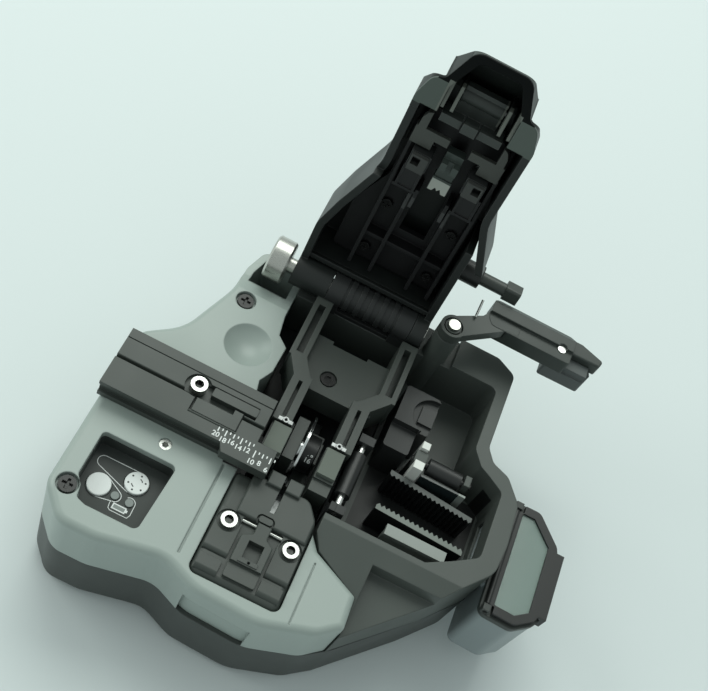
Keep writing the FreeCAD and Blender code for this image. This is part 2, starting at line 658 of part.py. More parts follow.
def unit_plate():
    """Raised plate on the back half, with a short pill in a recess on its front edge."""
    top = UNIT_Z + UNIT_PLATE_T
    right = UNIT_X[1] - 0.6
    back = UNIT_Y[1] + 0.4
    plate = prism([(-7.6, UNIT_PLATE_Y, 0.5), (right, UNIT_PLATE_Y, 0.5), (right, -13.6, 3.0),
                   (right - 3.2, back, 3.0), (-7.6, back, 0.5)], UNIT_Z - 1.0, top)
    plate = plate.makeFillet(0.6, flat_edges(plate, top))
    pill = [(-2.2, -19.9, 0.7), (1.2, -19.9, 0.7), (1.2, -18.3, 0.7), (-2.2, -18.3, 0.7)]
    plate = cut(plate, prism(inset(pill, -0.5), top - 0.9, top + 1.0))
    return join(plate, prism(pill, UNIT_Z, top + 0.3))


def unit_block():
    """Centre block with a square well and a lighter bar in front of it."""
    top = UNIT_Z + 2.0
    x0, x1 = UNIT_BLOCK_X
    block = prism([(x0, -35.0, 0.5), (x1, -35.0, 0.5), (x1, -24.6, 0.5), (x1 - 2.0, -23.4, 0.5),
                   (x1 - 2.0, -20.2), (x0 + 2.4, -20.2), (x0 + 2.4, -23.4, 0.5), (x0, -24.6, 0.5)],
                  UNIT_Z - 1.0, top)
    block = block.makeFillet(0.3, flat_edges(block, top))
    well = box((-2.0, 1.8), (-29.6, -25.2), (UNIT_Z - 0.6, top + 1.0))
    step = box((x0 - 1.0, x1 + 1.0), (-36.0, -31.2), (top - 1.0, top + 1.0))
    bar = box((-2.6, 2.2), (-30.9, -29.9), (UNIT_Z, top + 0.25))
    return cut(join(cut(block, well, step), bar), rod_z(0.0, -30.4, (top - 0.6, top + 1.0), 0.35))


def unit_side(x, y):
    """Side pad, rounded down towards the front."""
    pad = box(x, y, (UNIT_Z - 1.0, UNIT_Z + 0.8))
    edges = edges_at(pad, lambda e: e.BoundBox.ZMin > UNIT_Z and e.BoundBox.YMax < y[0] + 0.1)
    return pad.makeFillet(1.2, edges)


def make_unit_cover():
    outline = [(UNIT_X[0], UNIT_Y[0], 2.0), (UNIT_X[1], UNIT_Y[0], 2.0), (UNIT_X[1], -13.0, 3.0),
               (UNIT_X[1] - 3.6, UNIT_Y[1], 2.0), (UNIT_X[0], UNIT_Y[1], 1.5)]
    slab = prism(outline, UNIT_FLOOR, UNIT_Z)
    front = [e for e in flat_edges(slab, UNIT_Z) if e.BoundBox.YMax < UNIT_Y[0] + 2.1]
    slab = slab.makeFillet(1.6, front)
    slab = cut(slab, prism(inset(outline, UNIT_WALL), UNIT_FLOOR - 1.0, UNIT_Z - 2.0))
    pads = [unit_side((-11.0, -5.0), (-31.0, -19.8)), unit_side((4.4, 10.1), (-31.0, -20.0)),
            unit_side((-10.8, -5.4), (-36.0, -32.2)), unit_side((4.4, 9.8), (-35.6, -32.0))]
    leg_z = (CHASSIS_TOP, UNIT_FLOOR + 0.6)
    legs = [box((UNIT_X[0] + 0.2, UNIT_X[0] + 2.2), (-19.0, -12.0), leg_z),
            box((UNIT_X[1] - 2.3, UNIT_X[1] - 0.3), (-19.0, -14.0), leg_z),
            box((-3.0, 3.0), (UNIT_Y[0] + 0.6, UNIT_Y[0] + 2.6), leg_z)]
    posts = [rod_z(x, y, (UNIT_FLOOR, UNIT_Z), UNIT_SCREW_R + 0.3) for x, y in UNIT_SCREWS]
    lip = box(LIP_X, LIP_Y, (UNIT_Z + 0.1, UNIT_Z + 0.1 + LIP_T))
    lip = lip.makeFillet(0.4, flat_edges(lip, UNIT_Z + 0.1 + LIP_T))
    body = join(slab, unit_plate(), unit_block(), lip, *pads, *legs, *posts)
    blade_slit = box((-BLADE_T / 2 - CLEAR, BLADE_T / 2 + CLEAR), (-16.6, LIP_Y[1] + 1.0),
                     (UNIT_FLOOR - 1.0, UNIT_Z + 3.0))
    drum_way = box((-5.0, 5.0), (-17.0, LIP_Y[1] + 1.0), (UNIT_FLOOR - 1.0, UNIT_Z - CLEAR))
    tools = [blade_slit, drum_way]
    for x, y in UNIT_SCREWS:
        tools.append(rod_z(x, y, (UNIT_Z + 0.1, UNIT_Z + 3.0), UNIT_SCREW_R + 0.8))
        tools.append(rod_z(x, y, (30.0, UNIT_Z + 2.0), 1.1 + FIT))
    for x in UNIT_PIN_XS:
        tools.append(box((x[0], x[1]), (UNIT_PIN_Y - 1.3, UNIT_PIN_Y + 0.6), (UNIT_Z - 0.2, UNIT_Z + 3.0)))
    return cut(body, *tools)


UNIT_PIN_XS = ((-5.4, -1.8), (1.6, 4.7))


def make_plated_fasteners():
    """Bright screws and pins of the base: two socket screws, two pins, one set screw."""
    screws = [screw(x, y, UNIT_Z + 1.5, UNIT_SCREW_R, 1.4, 1.1, 4.4, "hex") for x, y in UNIT_SCREWS]
    return group(make_adjust_screw(), *screws, *make_unit_pins())


def make_unit_pins():
    """Two bright dowel pins beside the centre block."""
    return [rod_x(x, UNIT_PIN_Y, UNIT_Z - 0.2 + UNIT_PIN_R, UNIT_PIN_R) for x in UNIT_PIN_XS]


def make_roller(z):
    y = (ROLLER_Y[0] - ROLLER_NECK - 1.9, ROLLER_Y[1] + ROLLER_NECK + 1.9)
    return join(rod_y(ROLLER_X, ROLLER_Y, z, ROLLER_R), rod_y(ROLLER_X, y, z, ROLLER_SHAFT_R))


def make_roller_bracket():
    floor = PART_Z + WALL
    x = (ROLLER_X - 1.7, ROLLER_X + 2.2)
    y0 = ROLLER_Y[0] - ROLLER_NECK
    y1 = ROLLER_Y[1] + ROLLER_NECK
    front = box(x, (y0 - 2.2, y0), (floor, ROLLER_Z + 1.0))
    back = box(x, (y1, y1 + 2.4), (floor, ROLLER_Z + 2.2))
    foot = box(x, (y0 - 2.2, y1 + 2.4), (floor, floor + 1.6))
    body = join(front, back, foot)
    bores = [rod_y(ROLLER_X, (y0 - 3.0, y1 + 4.0), z, ROLLER_SHAFT_R + FIT)
             for z in (ROLLER_Z, ROLLER_Z - ROLLER_PITCH)]
    return cut(body, *bores)


COMB_Z = (PART_Z + WALL, 33.0)
TEETH = 18
TOOTH_H = 0.7


def comb(x0, x1, y0, y1, side):
    """Upright strip whose long side is a row of teeth; side is -1 or 1."""
    pitch = (x1 - x0) / TEETH
    pts = []
    for k in range(TEETH):
        y = y0 + (y1 - y0) * k / TEETH
        pts.append((x0 + pitch * k, y))
        pts.append((x0 + pitch * (k + 0.5), y + side * TOOTH_H))
    pts.append((x1, y1))
    pts.append((x1, y1 - side * 1.1))
    pts.append((x0, y0 - side * 1.1))
    return prism(pts, COMB_Z[0], COMB_Z[1])


def make_front_comb():
    return comb(22.4, 46.4, 1.2, 0.0, 1)


def make_back_comb():
    return comb(22.6, 46.0, 10.8, 8.6, -1)


def make_comb_plates():
    floor = PART_Z + WALL
    front = box((26.8, 43.0), (-4.8, -1.9), (31.2, 32.6))
    web = box((26.8, 43.0), (-3.8, -2.8), (floor, 31.2))
    back = box((29.6, 42.0), (12.6, 13.2), (floor, 35.2))
    return group(join(front, web), back)


SCRAP_Y = 16.4
SCRAP_Z = 34.6
SCRAP_SHAFT_R = 0.9


def make_scrap_roller():
    return join(rod_x((30.4, 39.4), SCRAP_Y, SCRAP_Z, 2.2), rod_x((25.8, 42.4), SCRAP_Y, SCRAP_Z, SCRAP_SHAFT_R))


def make_white_blocks():
    floor = PART_Z + WALL
    return group(box((26.4, 29.0), (12.1, 14.4), (floor, 38.6)), box((26.8, 28.8), (18.6, 20.6), (floor, 38.0)))


def make_drive_case():
    case = prism([(17.6, 16.0, 0.8), (24.6, 16.0, 0.8), (24.6, 23.0, 0.5), (27.4, 23.0, 0.8),
                  (27.4, 34.0, 1.2), (17.6, 34.0, 0.8)], PART_Z + WALL, 37.6)
    step = box((17.0, 24.6), (15.0, 23.0), (35.4, 40.0))
    recess = rod_z(26.6, 28.0, (36.2, 40.0), 5.2).cut(box((23.4, 30.0), (25.4, 30.8), (30.0, 37.0)))
    return cut(case, step, recess)


def make_hinge_block():
    """Bracket on the chassis whose two knuckles carry the lid."""
    a, b = BASE_KNUCKLE
    parts = []
    for x in ((-b, -a), (a, b)):
        parts.append(box(x, (44.0, 51.0), (36.0, HINGE_Z)))
        parts.append(rod_x(x, HINGE_Y, HINGE_Z, KNUCKLE_R))
    parts.append(box((-b, b), (44.8, 50.8), (35.6, 37.0)))
    body = cut(join(*parts), rod_x((-a, a), HINGE_Y, HINGE_Z, KNUCKLE_R + 0.4))
    pitch = 2.0 * a / SLEEVE_RIBS
    ribs = [rod_x((-a + pitch * (k + 0.3), -a + pitch * (k + 0.7)), HINGE_Y, HINGE_Z, SLEEVE_R + 0.35)
            for k in range(SLEEVE_RIBS)]
    sleeve = rod_x((-a - 0.2, a + 0.2), HINGE_Y, HINGE_Z, SLEEVE_R)
    body = join(body, sleeve, *ribs)
    return cut(body, rod_x((-20.0, 20.0), HINGE_Y, HINGE_Z, HINGE_PIN_R + FIT),
               rod_x((-a, a), HINGE_Y, HINGE_Z, SPRING_R + SPRING_WIRE_R + 0.1))


def make_hinge_spring():
    return coil(V(-SPRING_HALF, HINGE_Y, HINGE_Z), X_AXIS, SPRING_R, SPRING_WIRE_R, 2 * SPRING_HALF, 9)


def make_adapter():
    x0, x1 = ADAPTER_X
    y0, y1 = ADAPTER_Y
    z0 = COVER_Z + FIT
    body = box((x0, x1), (y0, y1), (z0, RAIL_Z))
    scale = prism([(-20.4, -4.0), (-17.0, -10.6), (SCALE_END_X, -10.6), (SCALE_END_X, -4.0)], 40.4, RAIL_Z)
    body = join(body, scale)
    step = profile_x([(0.0, RAIL_Z + 1.0), (0.0, RAIL_Z - 1.1), (0.7, RAIL_Z - 0.5), (y1 + 1.0, RAIL_Z - 0.5),
                      (y1 + 1.0, RAIL_Z + 1.0)], x0 - 1.0, x1 + 1.0)
    ledge = box((x0 - 1.0, x1 + 1.0), (y0 - 1.0, y0 + 0.9), (z0 + 1.6, RAIL_Z - 1.2))
    groove = profile_x([(y1 - 3.0, RAIL_Z), (y1 - 2.7, RAIL_Z - 0.9), (y1 - 2.4, RAIL_Z)], x0 - 1.0, x1 + 1.0)
    channel = profile_x([(-0.7, RAIL_Z + 0.1), (0.0, FRAME_Z), (0.7, RAIL_Z + 0.1)], x0 - 1.0, x1 + 1.0)
    sx, sy = ADAPTER_SCREW
    tools = [step, ledge, groove, channel,
             rod_z(sx, sy, (42.0, RAIL_Z + 1.0), 3.3),
             box((-28.2, FLAP_END_X + 0.3), (-5.0, 4.4), (41.3, RAIL_Z + 1.0)),
             box((FLAP_END_X, -13.2), (0.9, 4.4), (41.3, RAIL_Z + 1.0)),
             rod_x((-28.9 - GAP, FLAP_END_X + 1.0), FLAP_Y, FLAP_Z, FLAP_R + FIT),
             rod_z(sx, sy, (z0 + 1.0, RAIL_Z), 1.3 + FIT)]
    body = cut(body, *tools)
    bar = box((-25.0, -13.2), (1.6, 4.0), (41.2, 43.3))
    bar = bar.makeFillet(0.4, edges_at(bar, lambda e: e.BoundBox.ZLength > 1.0))
    return join(body, bar)


def make_adapter_screw():
    sx, sy = ADAPTER_SCREW
    return screw(sx, sy, 44.2, 2.1, 2.1, 1.3, 2.6, "hex")


FLAP_Y = -4.4
FLAP_Z = 42.8
FLAP_R = 0.45
FLAP_END_X = -16.2


def make_adapter_flap():
    bar = box((-27.6, FLAP_END_X), (FLAP_Y + 0.25, -0.6), (41.5, 43.4))
    lug = rod_x((-28.9, FLAP_END_X + 1.0), FLAP_Y, FLAP_Z, FLAP_R)
    knob = box((FLAP_END_X - 2.2, FLAP_END_X), (-0.7, 0.9), (41.8, 43.4))
    return join(bar, lug, knob)


def lid_outline():
    h = HINGE_Y
    c = LID_X
    half = [(TAB_TIP_HALF, LID_TIP_Y, 3.4), (TAB_HALF, SHOULDER_FRONT_Y - 0.4, 2.0),
            (LID_HALF - 1.6, SHOULDER_FRONT_Y + 1.0, 3.0),
            (LID_HALF + 0.2, h - 63.0, 4.0), (LID_HALF, h - 40.0, 12.0), (LID_WING - 2.6, h - 26.0, 12.0),
            (LID_WING, h - 17.0, 8.0), (LID_WING, h - 4.8, 0.0)]
    right = [(c + p[0], p[1], p[2]) for p in half]
    left = [(c - p[0], p[1], p[2]) for p in reversed(half)]
    return right + left


def make_lid_shell():
    outline = lid_outline()
    outer = prism(outline, RIM_Z, LID_TOP)
    back = box((LID_X - LID_WING, LID_X + LID_WING), (HINGE_Y - 5.0, HINGE_Y + 1.6), (50.0, LID_TOP))
    outer = join(outer, back)
    outer = outer.makeFillet(3.0, [e for e in flat_edges(outer, LID_TOP)])
    outer = cut(outer, *lid_slopes(0.0))
    inner = inset(outline, LID_WALL)
    top = LID_TOP - 2.2
    walls = lid_slopes(LID_WALL)
    tip_y = LID_TIP_Y + LID_WALL
    tab = prism([(LID_X - TAB_TIP_HALF + LID_WALL, tip_y, 2.4), (LID_X + TAB_TIP_HALF - LID_WALL, tip_y, 2.4),
                 (LID_X + CATCH_HALF + 1.2, SHOULDER_Y - 7.0, 1.0), (LID_X + CATCH_HALF + 1.2, SHOULDER_Y + 2.0),
                 (LID_X - CATCH_HALF - 1.2, SHOULDER_Y + 2.0), (LID_X - CATCH_HALF - 1.2, SHOULDER_Y - 7.0, 1.0)],
                RIM_Z - 1.0, top)
    tab = cut(tab, *walls)
    main = prism(inner, RIM_Z - 1.0, top).common(
        box((-40.0, 40.0), (SHOULDER_Y, 60.0), (RIM_Z - 2.0, top)))
    main = cut(main, *walls)
    rear = box((LID_X - LID_WING + LID_WALL, LID_X + LID_WING - LID_WALL), (HINGE_Y - 8.0, HINGE_Y + 3.0),
               (RIM_Z - 1.0, top))
    notch = box((HINGE_RIGHT_X + 0.2, 40.0), (HINGE_Y - 25.0, 60.0), (RIM_Z - 1.0, LID_TOP + 1.0))
    rail = box((-20.0, -10.0), (ADAPTER_Y[0] - 3.2, ADAPTER_Y[1] + 1.0), (RIM_Z - 1.0, RAIL_Z + 0.8))
    body = cut(outer, tab, main, rear, notch, rail)
    cheek_l = box((HINGE_LEFT_X + 0.3, HINGE_LEFT_X + 2.2), (HINGE_Y - 12.0, HINGE_Y), (RIM_Z, top + 0.5))
    cheek_r = box((HINGE_RIGHT_X - 1.9, HINGE_RIGHT_X), (HINGE_Y - 30.0, HINGE_Y), (RIM_Z, top + 0.5))
    cheek_l = cheek_l.common(cheek_shape(HINGE_Y - 12.0))
    cheek_r = cheek_r.common(cheek_shape(HINGE_Y - 30.0))
    a, b = BASE_KNUCKLE
    knuckles = [rod_x((HINGE_LEFT_X + 0.3, -b - GAP), HINGE_Y, HINGE_Z, KNUCKLE_R),
                rod_x((b + GAP, HINGE_RIGHT_X), HINGE_Y, HINGE_Z, KNUCKLE_R)]
    webs = [box((HINGE_LEFT_X + 0.3, -b - GAP), (HINGE_Y - 4.0, HINGE_Y - 2.0), (HINGE_Z, top + 0.5)),
            box((b + GAP, HINGE_RIGHT_X), (HINGE_Y - 4.0, HINGE_Y - 2.0), (HINGE_Z, top + 0.5))]
    x = (HINGE_LEFT_X + 0.3, HINGE_RIGHT_X)
    guard = cut(rod_x(x, HINGE_Y, HINGE_Z, GUARD_R + 1.4), rod_x((-40.0, 40.0), HINGE_Y, HINGE_Z, GUARD_R))
    guard = guard.common(box(x, (HINGE_Y - 10.0, HINGE_Y + 0.5), (HINGE_Z + 1.0, HINGE_Z + 10.0)))
    webs += [guard, box(x, (HINGE_Y - 5.6, HINGE_Y - 4.4), (HINGE_Z + 3.0, top + 0.5))]
    boss = rod_x((HINGE_RIGHT_X - 1.9, HINGE_RIGHT_X + 6.6), STUB_Y, STUB_Z - 0.4, STUB_R + 0.7)
    fins = []
    for side in (-1, 1):
        for inner, y0 in ((FIN_X, SHOULDER_Y - 7.6), (FIN_X + FIN_STEP, SHOULDER_Y - 8.6)):
            x = sorted((LID_X + side * inner, LID_X + side * (inner + FIN_T)))
            fins.append(cut(fin(x, y0), *lid_slopes(0.6)))
    body = join(body, cheek_l, cheek_r, boss, *knuckles, *webs, *fins)
    return cut(body, rod_x((-30.0, 30.0), HINGE_Y, HINGE_Z, HINGE_PIN_R),
               rod_x((HINGE_RIGHT_X + 0.2, 40.0), STUB_Y, STUB_Z - 0.4, STUB_ROD_R),
               make_latch_pin())


def lid_slopes(inside):
    """What the sloping front of the lid takes off, moved inwards by inside."""
    reach = 60.0
    low = RIM_Z + 1.2
    shift = inside * math.sqrt(2.0)
    y0 = LID_TIP_Y + shift
    tongue = profile_x([(y0, low), (y0 + reach, low + reach), (y0 - reach, low + reach), (y0 - reach, low)],
                       LID_X - LID_WING, LID_X + LID_WING)
    y1 = SHOULDER_FRONT_Y + shift
    shape = [(y1, low), (y1 + reach, low + reach), (y1 - reach, low + reach), (y1 - reach, low)]
    edge = TAB_HALF + 0.2 - inside
    sides = [profile_x(shape, LID_X + edge, LID_X + LID_WING + 1.0),
             profile_x(shape, LID_X - LID_WING - 1.0, LID_X - edge)]
    return [tongue] + sides


def fin(x, y0):
    """Slanted rib in the tab of the lid, which also carries the latch pin."""
    y1 = SHOULDER_Y - 1.4
    top = LID_TOP - 1.8
    return profile_x([(y0, RIM_Z + 1.6), (y1, RIM_Z + 0.3), (y1, top), (y0, top)], x[0], x[1])


def cheek_shape(front):
    """Side plate of the lid: square towards the front, round about the hinge."""
    plate = box((-40.0, 40.0), (front, HINGE_Y - 0.1), (RIM_Z, LID_TOP))
    slant = profile_x([(HINGE_Y - 2.0, RIM_Z - 1), (HINGE_Y + 5.0, RIM_Z + 3.0), (HINGE_Y + 1.0, LID_TOP + 1.0),
                       (HINGE_Y - 40.0, LID_TOP + 1.0), (HINGE_Y - 40.0, RIM_Z - 1)], -40.0, 40.0)
    return plate.common(slant)


def make_lid_frame():
    """Casting inside the lid that carries the upper clamps and the anvil."""
    top = LID_TOP - 2.2
    z0 = LID_FRAME_Z
    plate = prism([(LID_X - 8.6, -8.8, 1.0), (LID_X + 8.6, -8.8, 1.0), (LID_X + 11.8, -3.0, 1.0),
                   (LID_X + 11.8, 12.0, 4.0), (LID_X + 12.4, 42.0, 1.0), (LID_X - 17.0, 42.0, 1.0),
                   (LID_X - 17.0, 26.0, 4.0), (LID_X - 11.8, 14.0, 4.0), (LID_X - 11.8, -3.0, 1.0)],
                  z0, z0 + LID_FRAME_T)
    ribs = []
    for x, y in ((-11.4, SHELF_Y[1]), (-5.6, 11.6), (5.0, 11.6), (10.9, SHELF_Y[1])):
        ribs.append(box((LID_X + x, LID_X + x + 0.9), (y, 41.0), (45.4, z0)))
    for x in (-4.4, 3.7):
        ribs.append(box((LID_X + x, LID_X + x + 0.9), (10.6, 16.2), (44.6, z0)))
    ribs.append(box((LID_X - 10.5, LID_X + 10.8), (30.6, 31.6), (47.0, z0)))
    for x in ((-9.5, -4.5), (5.9, 10.9)):
        block = box(x, (4.6, 11.4), (43.6, z0))
        ribs.append(cut(block, box((x[0] + 0.6, x[1] - 0.6), (5.0, 10.8), (43.0, 44.0))))
        ribs.append(box((x[0] - 0.5, x[1] + 0.5), (11.4, 12.2), (44.6, z0)))
    for side in (-1, 1):
        ribs.append(lid_shelf(side))
    posts = [rod_z(x, y, (z0, top), 2.0) for x, y in LID_SCREWS]
    posts += [rod_z(LID_X + x, 3.0, (z0, top), 2.0) for x in (-10.0, 10.0)]
    body = join(plate, *ribs, *posts)
    tools = [rod_z(c, STEM_Y, (z0 - 1.0, z0 + 3.0), STEM_R + 2.0 * FIT)
             for c in (UPPER_XS[0], UPPER_XS[1], LID_X)]
    tools.append(box((LID_X - 3.4, LID_X + 3.6), (12.0, 28.0), (z0 - 1.0, z0 + 3.0)))
    for x, y in LID_SCREWS:
        tools.append(rod_z(x, y, (z0 - 1.0, top - 0.4), 0.8 + FIT))
    return cut(body, *tools)


def lid_shelf(side):
    """Stepped plate before a clamp, with a rounded ear in front of it and a leg."""
    z = (SHELF_Z, SHELF_Z + 1.2)
    wide = box(mirrored(side, 6.0, 11.4), SHELF_Y, z)
    narrow = box(mirrored(side, 2.7, 6.2), (SHELF_Y[0], SHELF_Y[1] - 2.6), z)
    leg = box(mirrored(side, 10.6, 11.4), SHELF_Y, (SHELF_Z, LID_FRAME_Z + 0.4))
    y = SHELF_Y[0]
    shape = [(9.0, y + 0.2), (9.0, y - 4.8), (10.1, y - 4.2), (10.9, y - 2.4), (11.0, y + 0.2)]
    ear = prism([(LID_X + side * p[0], p[1]) for p in shape], SHELF_Z, SHELF_Z + 2.0)
    return join(wide, narrow, leg, ear)


def mirrored(side, near, far):
    """Range of x on one side of the lid's middle plane."""
    return tuple(sorted((LID_X + side * near, LID_X + side * far)))


SHELF_Y = (-6.4, -1.6)
SHELF_Z = 44.0
UPPER_XS = (-6.8, 7.6)
HOLE_OUT = 0.7
STEM_Y = 1.1
STEM_R = 1.0
CLAMP_TOP = 47.4
ANVIL_TOP = 47.8
LID_FRAME_Z = 50.6
LID_FRAME_T = 1.8
LID_SCREWS = [(LID_X + x, y) for x in (-9.0, 9.0) for y in (22.4, 38.0)]


def make_upper_clamp(xc):
    """Sprung block with a square pocket and a guide stem through the casting."""
    half = 2.5
    z0 = FRAME_Z + UPPER_PAD_T
    body = box((xc - half, xc + half), (-1.0, 4.0), (z0, CLAMP_TOP))
    body = body.makeFillet(0.4, edges_at(body, lambda e: e.BoundBox.ZLength > 4.0))
    stem = rod_z(xc, STEM_Y, (CLAMP_TOP - 0.4, 54.0), STEM_R)
    return cut(join(body, stem), clamp_hole(xc, (z0 - 1.0, z0 + 1.4)))


def clamp_hole(xc, z):
    """Square pocket, a little off the middle towards the outside of the lid."""
    x = xc + math.copysign(HOLE_OUT, xc)
    return box((x - 1.0, x + 1.0), (-0.2, 2.0), z)


def make_upper_pad(xc):
    z0 = FRAME_Z
    pad = box((xc - 2.1, xc + 2.1), (-0.7, 3.7), (z0, z0 + UPPER_PAD_T))
    return cut(pad, clamp_hole(xc, (z0 - 1.0, z0 + UPPER_PAD_T + 1.0)))


def make_anvil():
    """Sprung finger that pushes the scored fibre down beside the blade."""
    body = box((LID_X - 2.2, LID_X + 2.2), (-3.0, 4.6), (45.0, ANVIL_TOP))
    nose = box((LID_X - 2.2, LID_X + 2.2), (-1.2, 1.2), (42.6, 45.0))
    stem = rod_z(LID_X, STEM_Y, (ANVIL_TOP - 0.8, 54.0), STEM_R)
    body = join(body, nose, stem, anvil_clip())
    return cut(body, box((LID_X - 0.7, LID_X + 0.7), (-2.0, 2.0), (42.0, 44.2)))


def anvil_clip():
    """Spring clip with a notched end, on the back of the anvil."""
    clip = prism([(LID_X - 2.4, 4.8), (LID_X + 2.4, 4.8), (LID_X + 2.4, 8.6), (LID_X + 1.2, 8.6),
                  (LID_X + 0.6, 7.4), (LID_X, 8.2), (LID_X - 0.6, 7.4), (LID_X - 1.2, 8.6),
                  (LID_X - 2.4, 8.6)], 44.6, 45.0)
    tongue = box((LID_X - 2.4, LID_X + 2.4), (4.5, 5.1), (44.6, ANVIL_TOP - 0.4))
    return join(clip, tongue)


def make_clamp_springs():
    wire_r = 0.3
    top = LID_FRAME_Z - wire_r - FIT
    springs = []
    for x, seat in ((UPPER_XS[0], CLAMP_TOP), (UPPER_XS[1], CLAMP_TOP), (LID_X, ANVIL_TOP)):
        low = seat + wire_r + FIT
        springs.append(coil(V(x, STEM_Y, low), Z_AXIS, 1.6, wire_r, top - low, 2))
    return group(*springs)


def make_lid_screws():
    out = []
    for x, y in LID_SCREWS:
        s = screw(x, y, 0.0, 1.5, 0.9, 0.8, 3.6, "cross")
        s.rotate(V(x, y, 0), X_AXIS, 180.0)
        s.translate(V(0, 0, LID_FRAME_Z - 0.9))
        out.append(s)
    return group(*out)


LATCH_Y = HINGE_Y - 65.0
LATCH_Z = RIM_Z + 6.6
LATCH_FRONT = 2.6
LATCH_HALF = FIN_X - CLEAR
CATCH_DROP = (4.6, 6.0)
CATCH_PLATES = ((-CATCH_HALF, -2.5), (-2.1, 1.5), (1.9, CATCH_HALF))


def make_latch():
    """Thumb latch in the tab of the lid, with three fingers and a hook."""
    x = (LID_X - LATCH_HALF, LID_X + LATCH_HALF)
    bar = box(x, (LATCH_Y - LATCH_FRONT, LATCH_Y + CATCH_DROP[1]), (LATCH_Z - 1.0, LATCH_Z + 1.2))
    eye = rod_x(x, LATCH_Y, LATCH_Z, 1.9)
    y = (LATCH_Y + CATCH_DROP[0], LATCH_Y + CATCH_DROP[1])
    cross = box((LID_X - CATCH_HALF, LID_X + CATCH_HALF), y, (LATCH_Z - 1.0, LATCH_Z + 1.2))
    fingers = [box((LID_X + a, LID_X + b), y, (RIM_Z + 1.2, LATCH_Z)) for a, b in CATCH_PLATES]
    lips = [box((LID_X + a, LID_X + b), (y[0] - 0.7, y[0] + 0.1), (RIM_Z + 1.2, RIM_Z + 2.2))
            for a, b in CATCH_PLATES]
    hook = box((LID_X - 2.1, LID_X + 1.5), (y[0] - 1.2, y[1]), (RIM_Z + 0.4, RIM_Z + 1.6))
    body = join(bar, eye, cross, hook, *fingers, *lips)
    return cut(body, rod_x((-10.0, 10.0), LATCH_Y, LATCH_Z, 0.8 + FIT))


def make_latch_pin():
    reach = FIN_X + FIN_T
    return rod_x((LID_X - reach, LID_X + reach), LATCH_Y, LATCH_Z, 0.8)


def make_hinge_pin():
    return rod_x((COLLAR_X[0], HINGE_RIGHT_X + 0.4), HINGE_Y, HINGE_Z, HINGE_PIN_R)


def make_collar():
    ring = rod_x(COLLAR_X, HINGE_Y, HINGE_Z, COLLAR_R)
    mid = sum(COLLAR_X) / 2.0
    ring = ring.makeChamfer(0.5, edges_at(ring, lambda e: e.BoundBox.XLength < 1e-4 and e.BoundBox.YLength > 5))
    bore = rod_x((-40.0, 0.0), HINGE_Y, HINGE_Z, HINGE_PIN_R)
    seat = Part.makeCylinder(1.75, 20.0, V(mid, HINGE_Y, HINGE_Z), SCREW_DIR)
    return group(cut(ring, bore, seat), make_collar_screw())


SCREW_DIR = V(0, math.cos(math.radians(70.0)) * -1.0, math.sin(math.radians(70.0)))


def make_collar_screw():
    mid = sum(COLLAR_X) / 2.0
    axis = V(mid, HINGE_Y, HINGE_Z)
    body = Part.makeCylinder(1.7, COLLAR_R - 0.3 - HINGE_PIN_R, axis + SCREW_DIR * HINGE_PIN_R, SCREW_DIR)
    socket = Part.makeCylinder(0.9, 3.0, axis + SCREW_DIR * (COLLAR_R - 1.8), SCREW_DIR)
    return cut(body, socket)


def make_stub():
    rod = rod_x((HINGE_RIGHT_X + 0.2, 29.6), STUB_Y, STUB_Z - 0.4, STUB_ROD_R)
    head = box((29.2, 33.4), (STUB_Y - 2.2, STUB_Y + 2.2), (STUB_Z - 2.2, STUB_Z + 1.8))
    head = head.makeFillet(0.8, edges_at(head, lambda e: e.BoundBox.XLength > 4.0))
    return join(rod, head)


def make_arm_pin():
    return join(rod_z(ARM_X, ARM_Y, (34.0, LINK_Z[1] + 0.2), ARM_PIN_R),
                rod_z(ARM_X, ARM_Y, (LINK_Z[1] + 0.2, LINK_Z[1] + 0.8), ARM_PIN_R + 0.5))


def make_arm_link():
    eye = rod_z(ARM_X, ARM_Y, LINK_Z, POST_R)
    ring = rod_z(ARM_X, ARM_Y, (LINK_Z[1] - 0.8, LINK_Z[1]), 2.2)
    bar = prism([(20.2, 50.3), (19.6, 45.0), (23.2, 45.0), (34.0, 53.5), (37.0, 53.5), (37.0, 58.8),
                 (29.4, 58.8), (26.8, 54.5)], LINK_Z[0], LINK_Z[1])
    top = cut(join(eye, bar), cut(rod_z(ARM_X, ARM_Y, (LINK_Z[1] - 0.8, LINK_Z[1] + 1.0), 2.6), ring))
    return cut(top, rod_z(ARM_X, ARM_Y, (40.0, 60.0), ARM_PIN_R + FIT))


def make_arm_housing():
    x0, x1 = ARM_BLOCK_X
    y0, y1 = ARM_BLOCK_Y
    outline = [(x0 + 1.4, y0, 1.5), (x1, y0, 0.6), (x1, y1 - 1.6, 0.8), (x1 - 1.6, y1, 0.8), (x0, y1, 2.2),
               (x0, y0 + 2.2, 2.0)]
    body = prism(outline, ARM_Z[0], ARM_Z[1])
    step = box((x0 - 1.0, x1 + 1.0), (y0 - 1.0, y0 + 3.6), (ARM_Z[1] - 0.9, ARM_Z[1] + 1.0))
    slope = profile_x([(y1 - 2.0, ARM_Z[1]), (y1 + 1.0, ARM_Z[1] - 2.2), (y1 + 1.0, ARM_Z[1] + 1.0)], x0 - 1, x1 + 1)
    link = prism([(20.1, 50.5), (19.6, 44.8), (23.3, 44.8), (34.1, 53.3), (37.2, 53.3), (37.2, 59.0),
                  (29.2, 59.0), (26.6, 54.7)], LINK_Z[0] - 0.05, LINK_Z[1] + 0.05)
    hollow = box((x0 + 10.0, x1 - 2.0), (y0 + 1.6, y1 - 1.6), (ARM_Z[0] - 1.0, ARM_Z[1] - 2.4))
    pin = rod_z(ARM_PIN2[0], ARM_PIN2[1], (ARM_Z[0] - 1.0, ARM_Z[1] + 1.0), 1.2)
    return cut(body, step, slope, link, hollow, pin)


ARM_PIN2 = (49.2, 56.4)


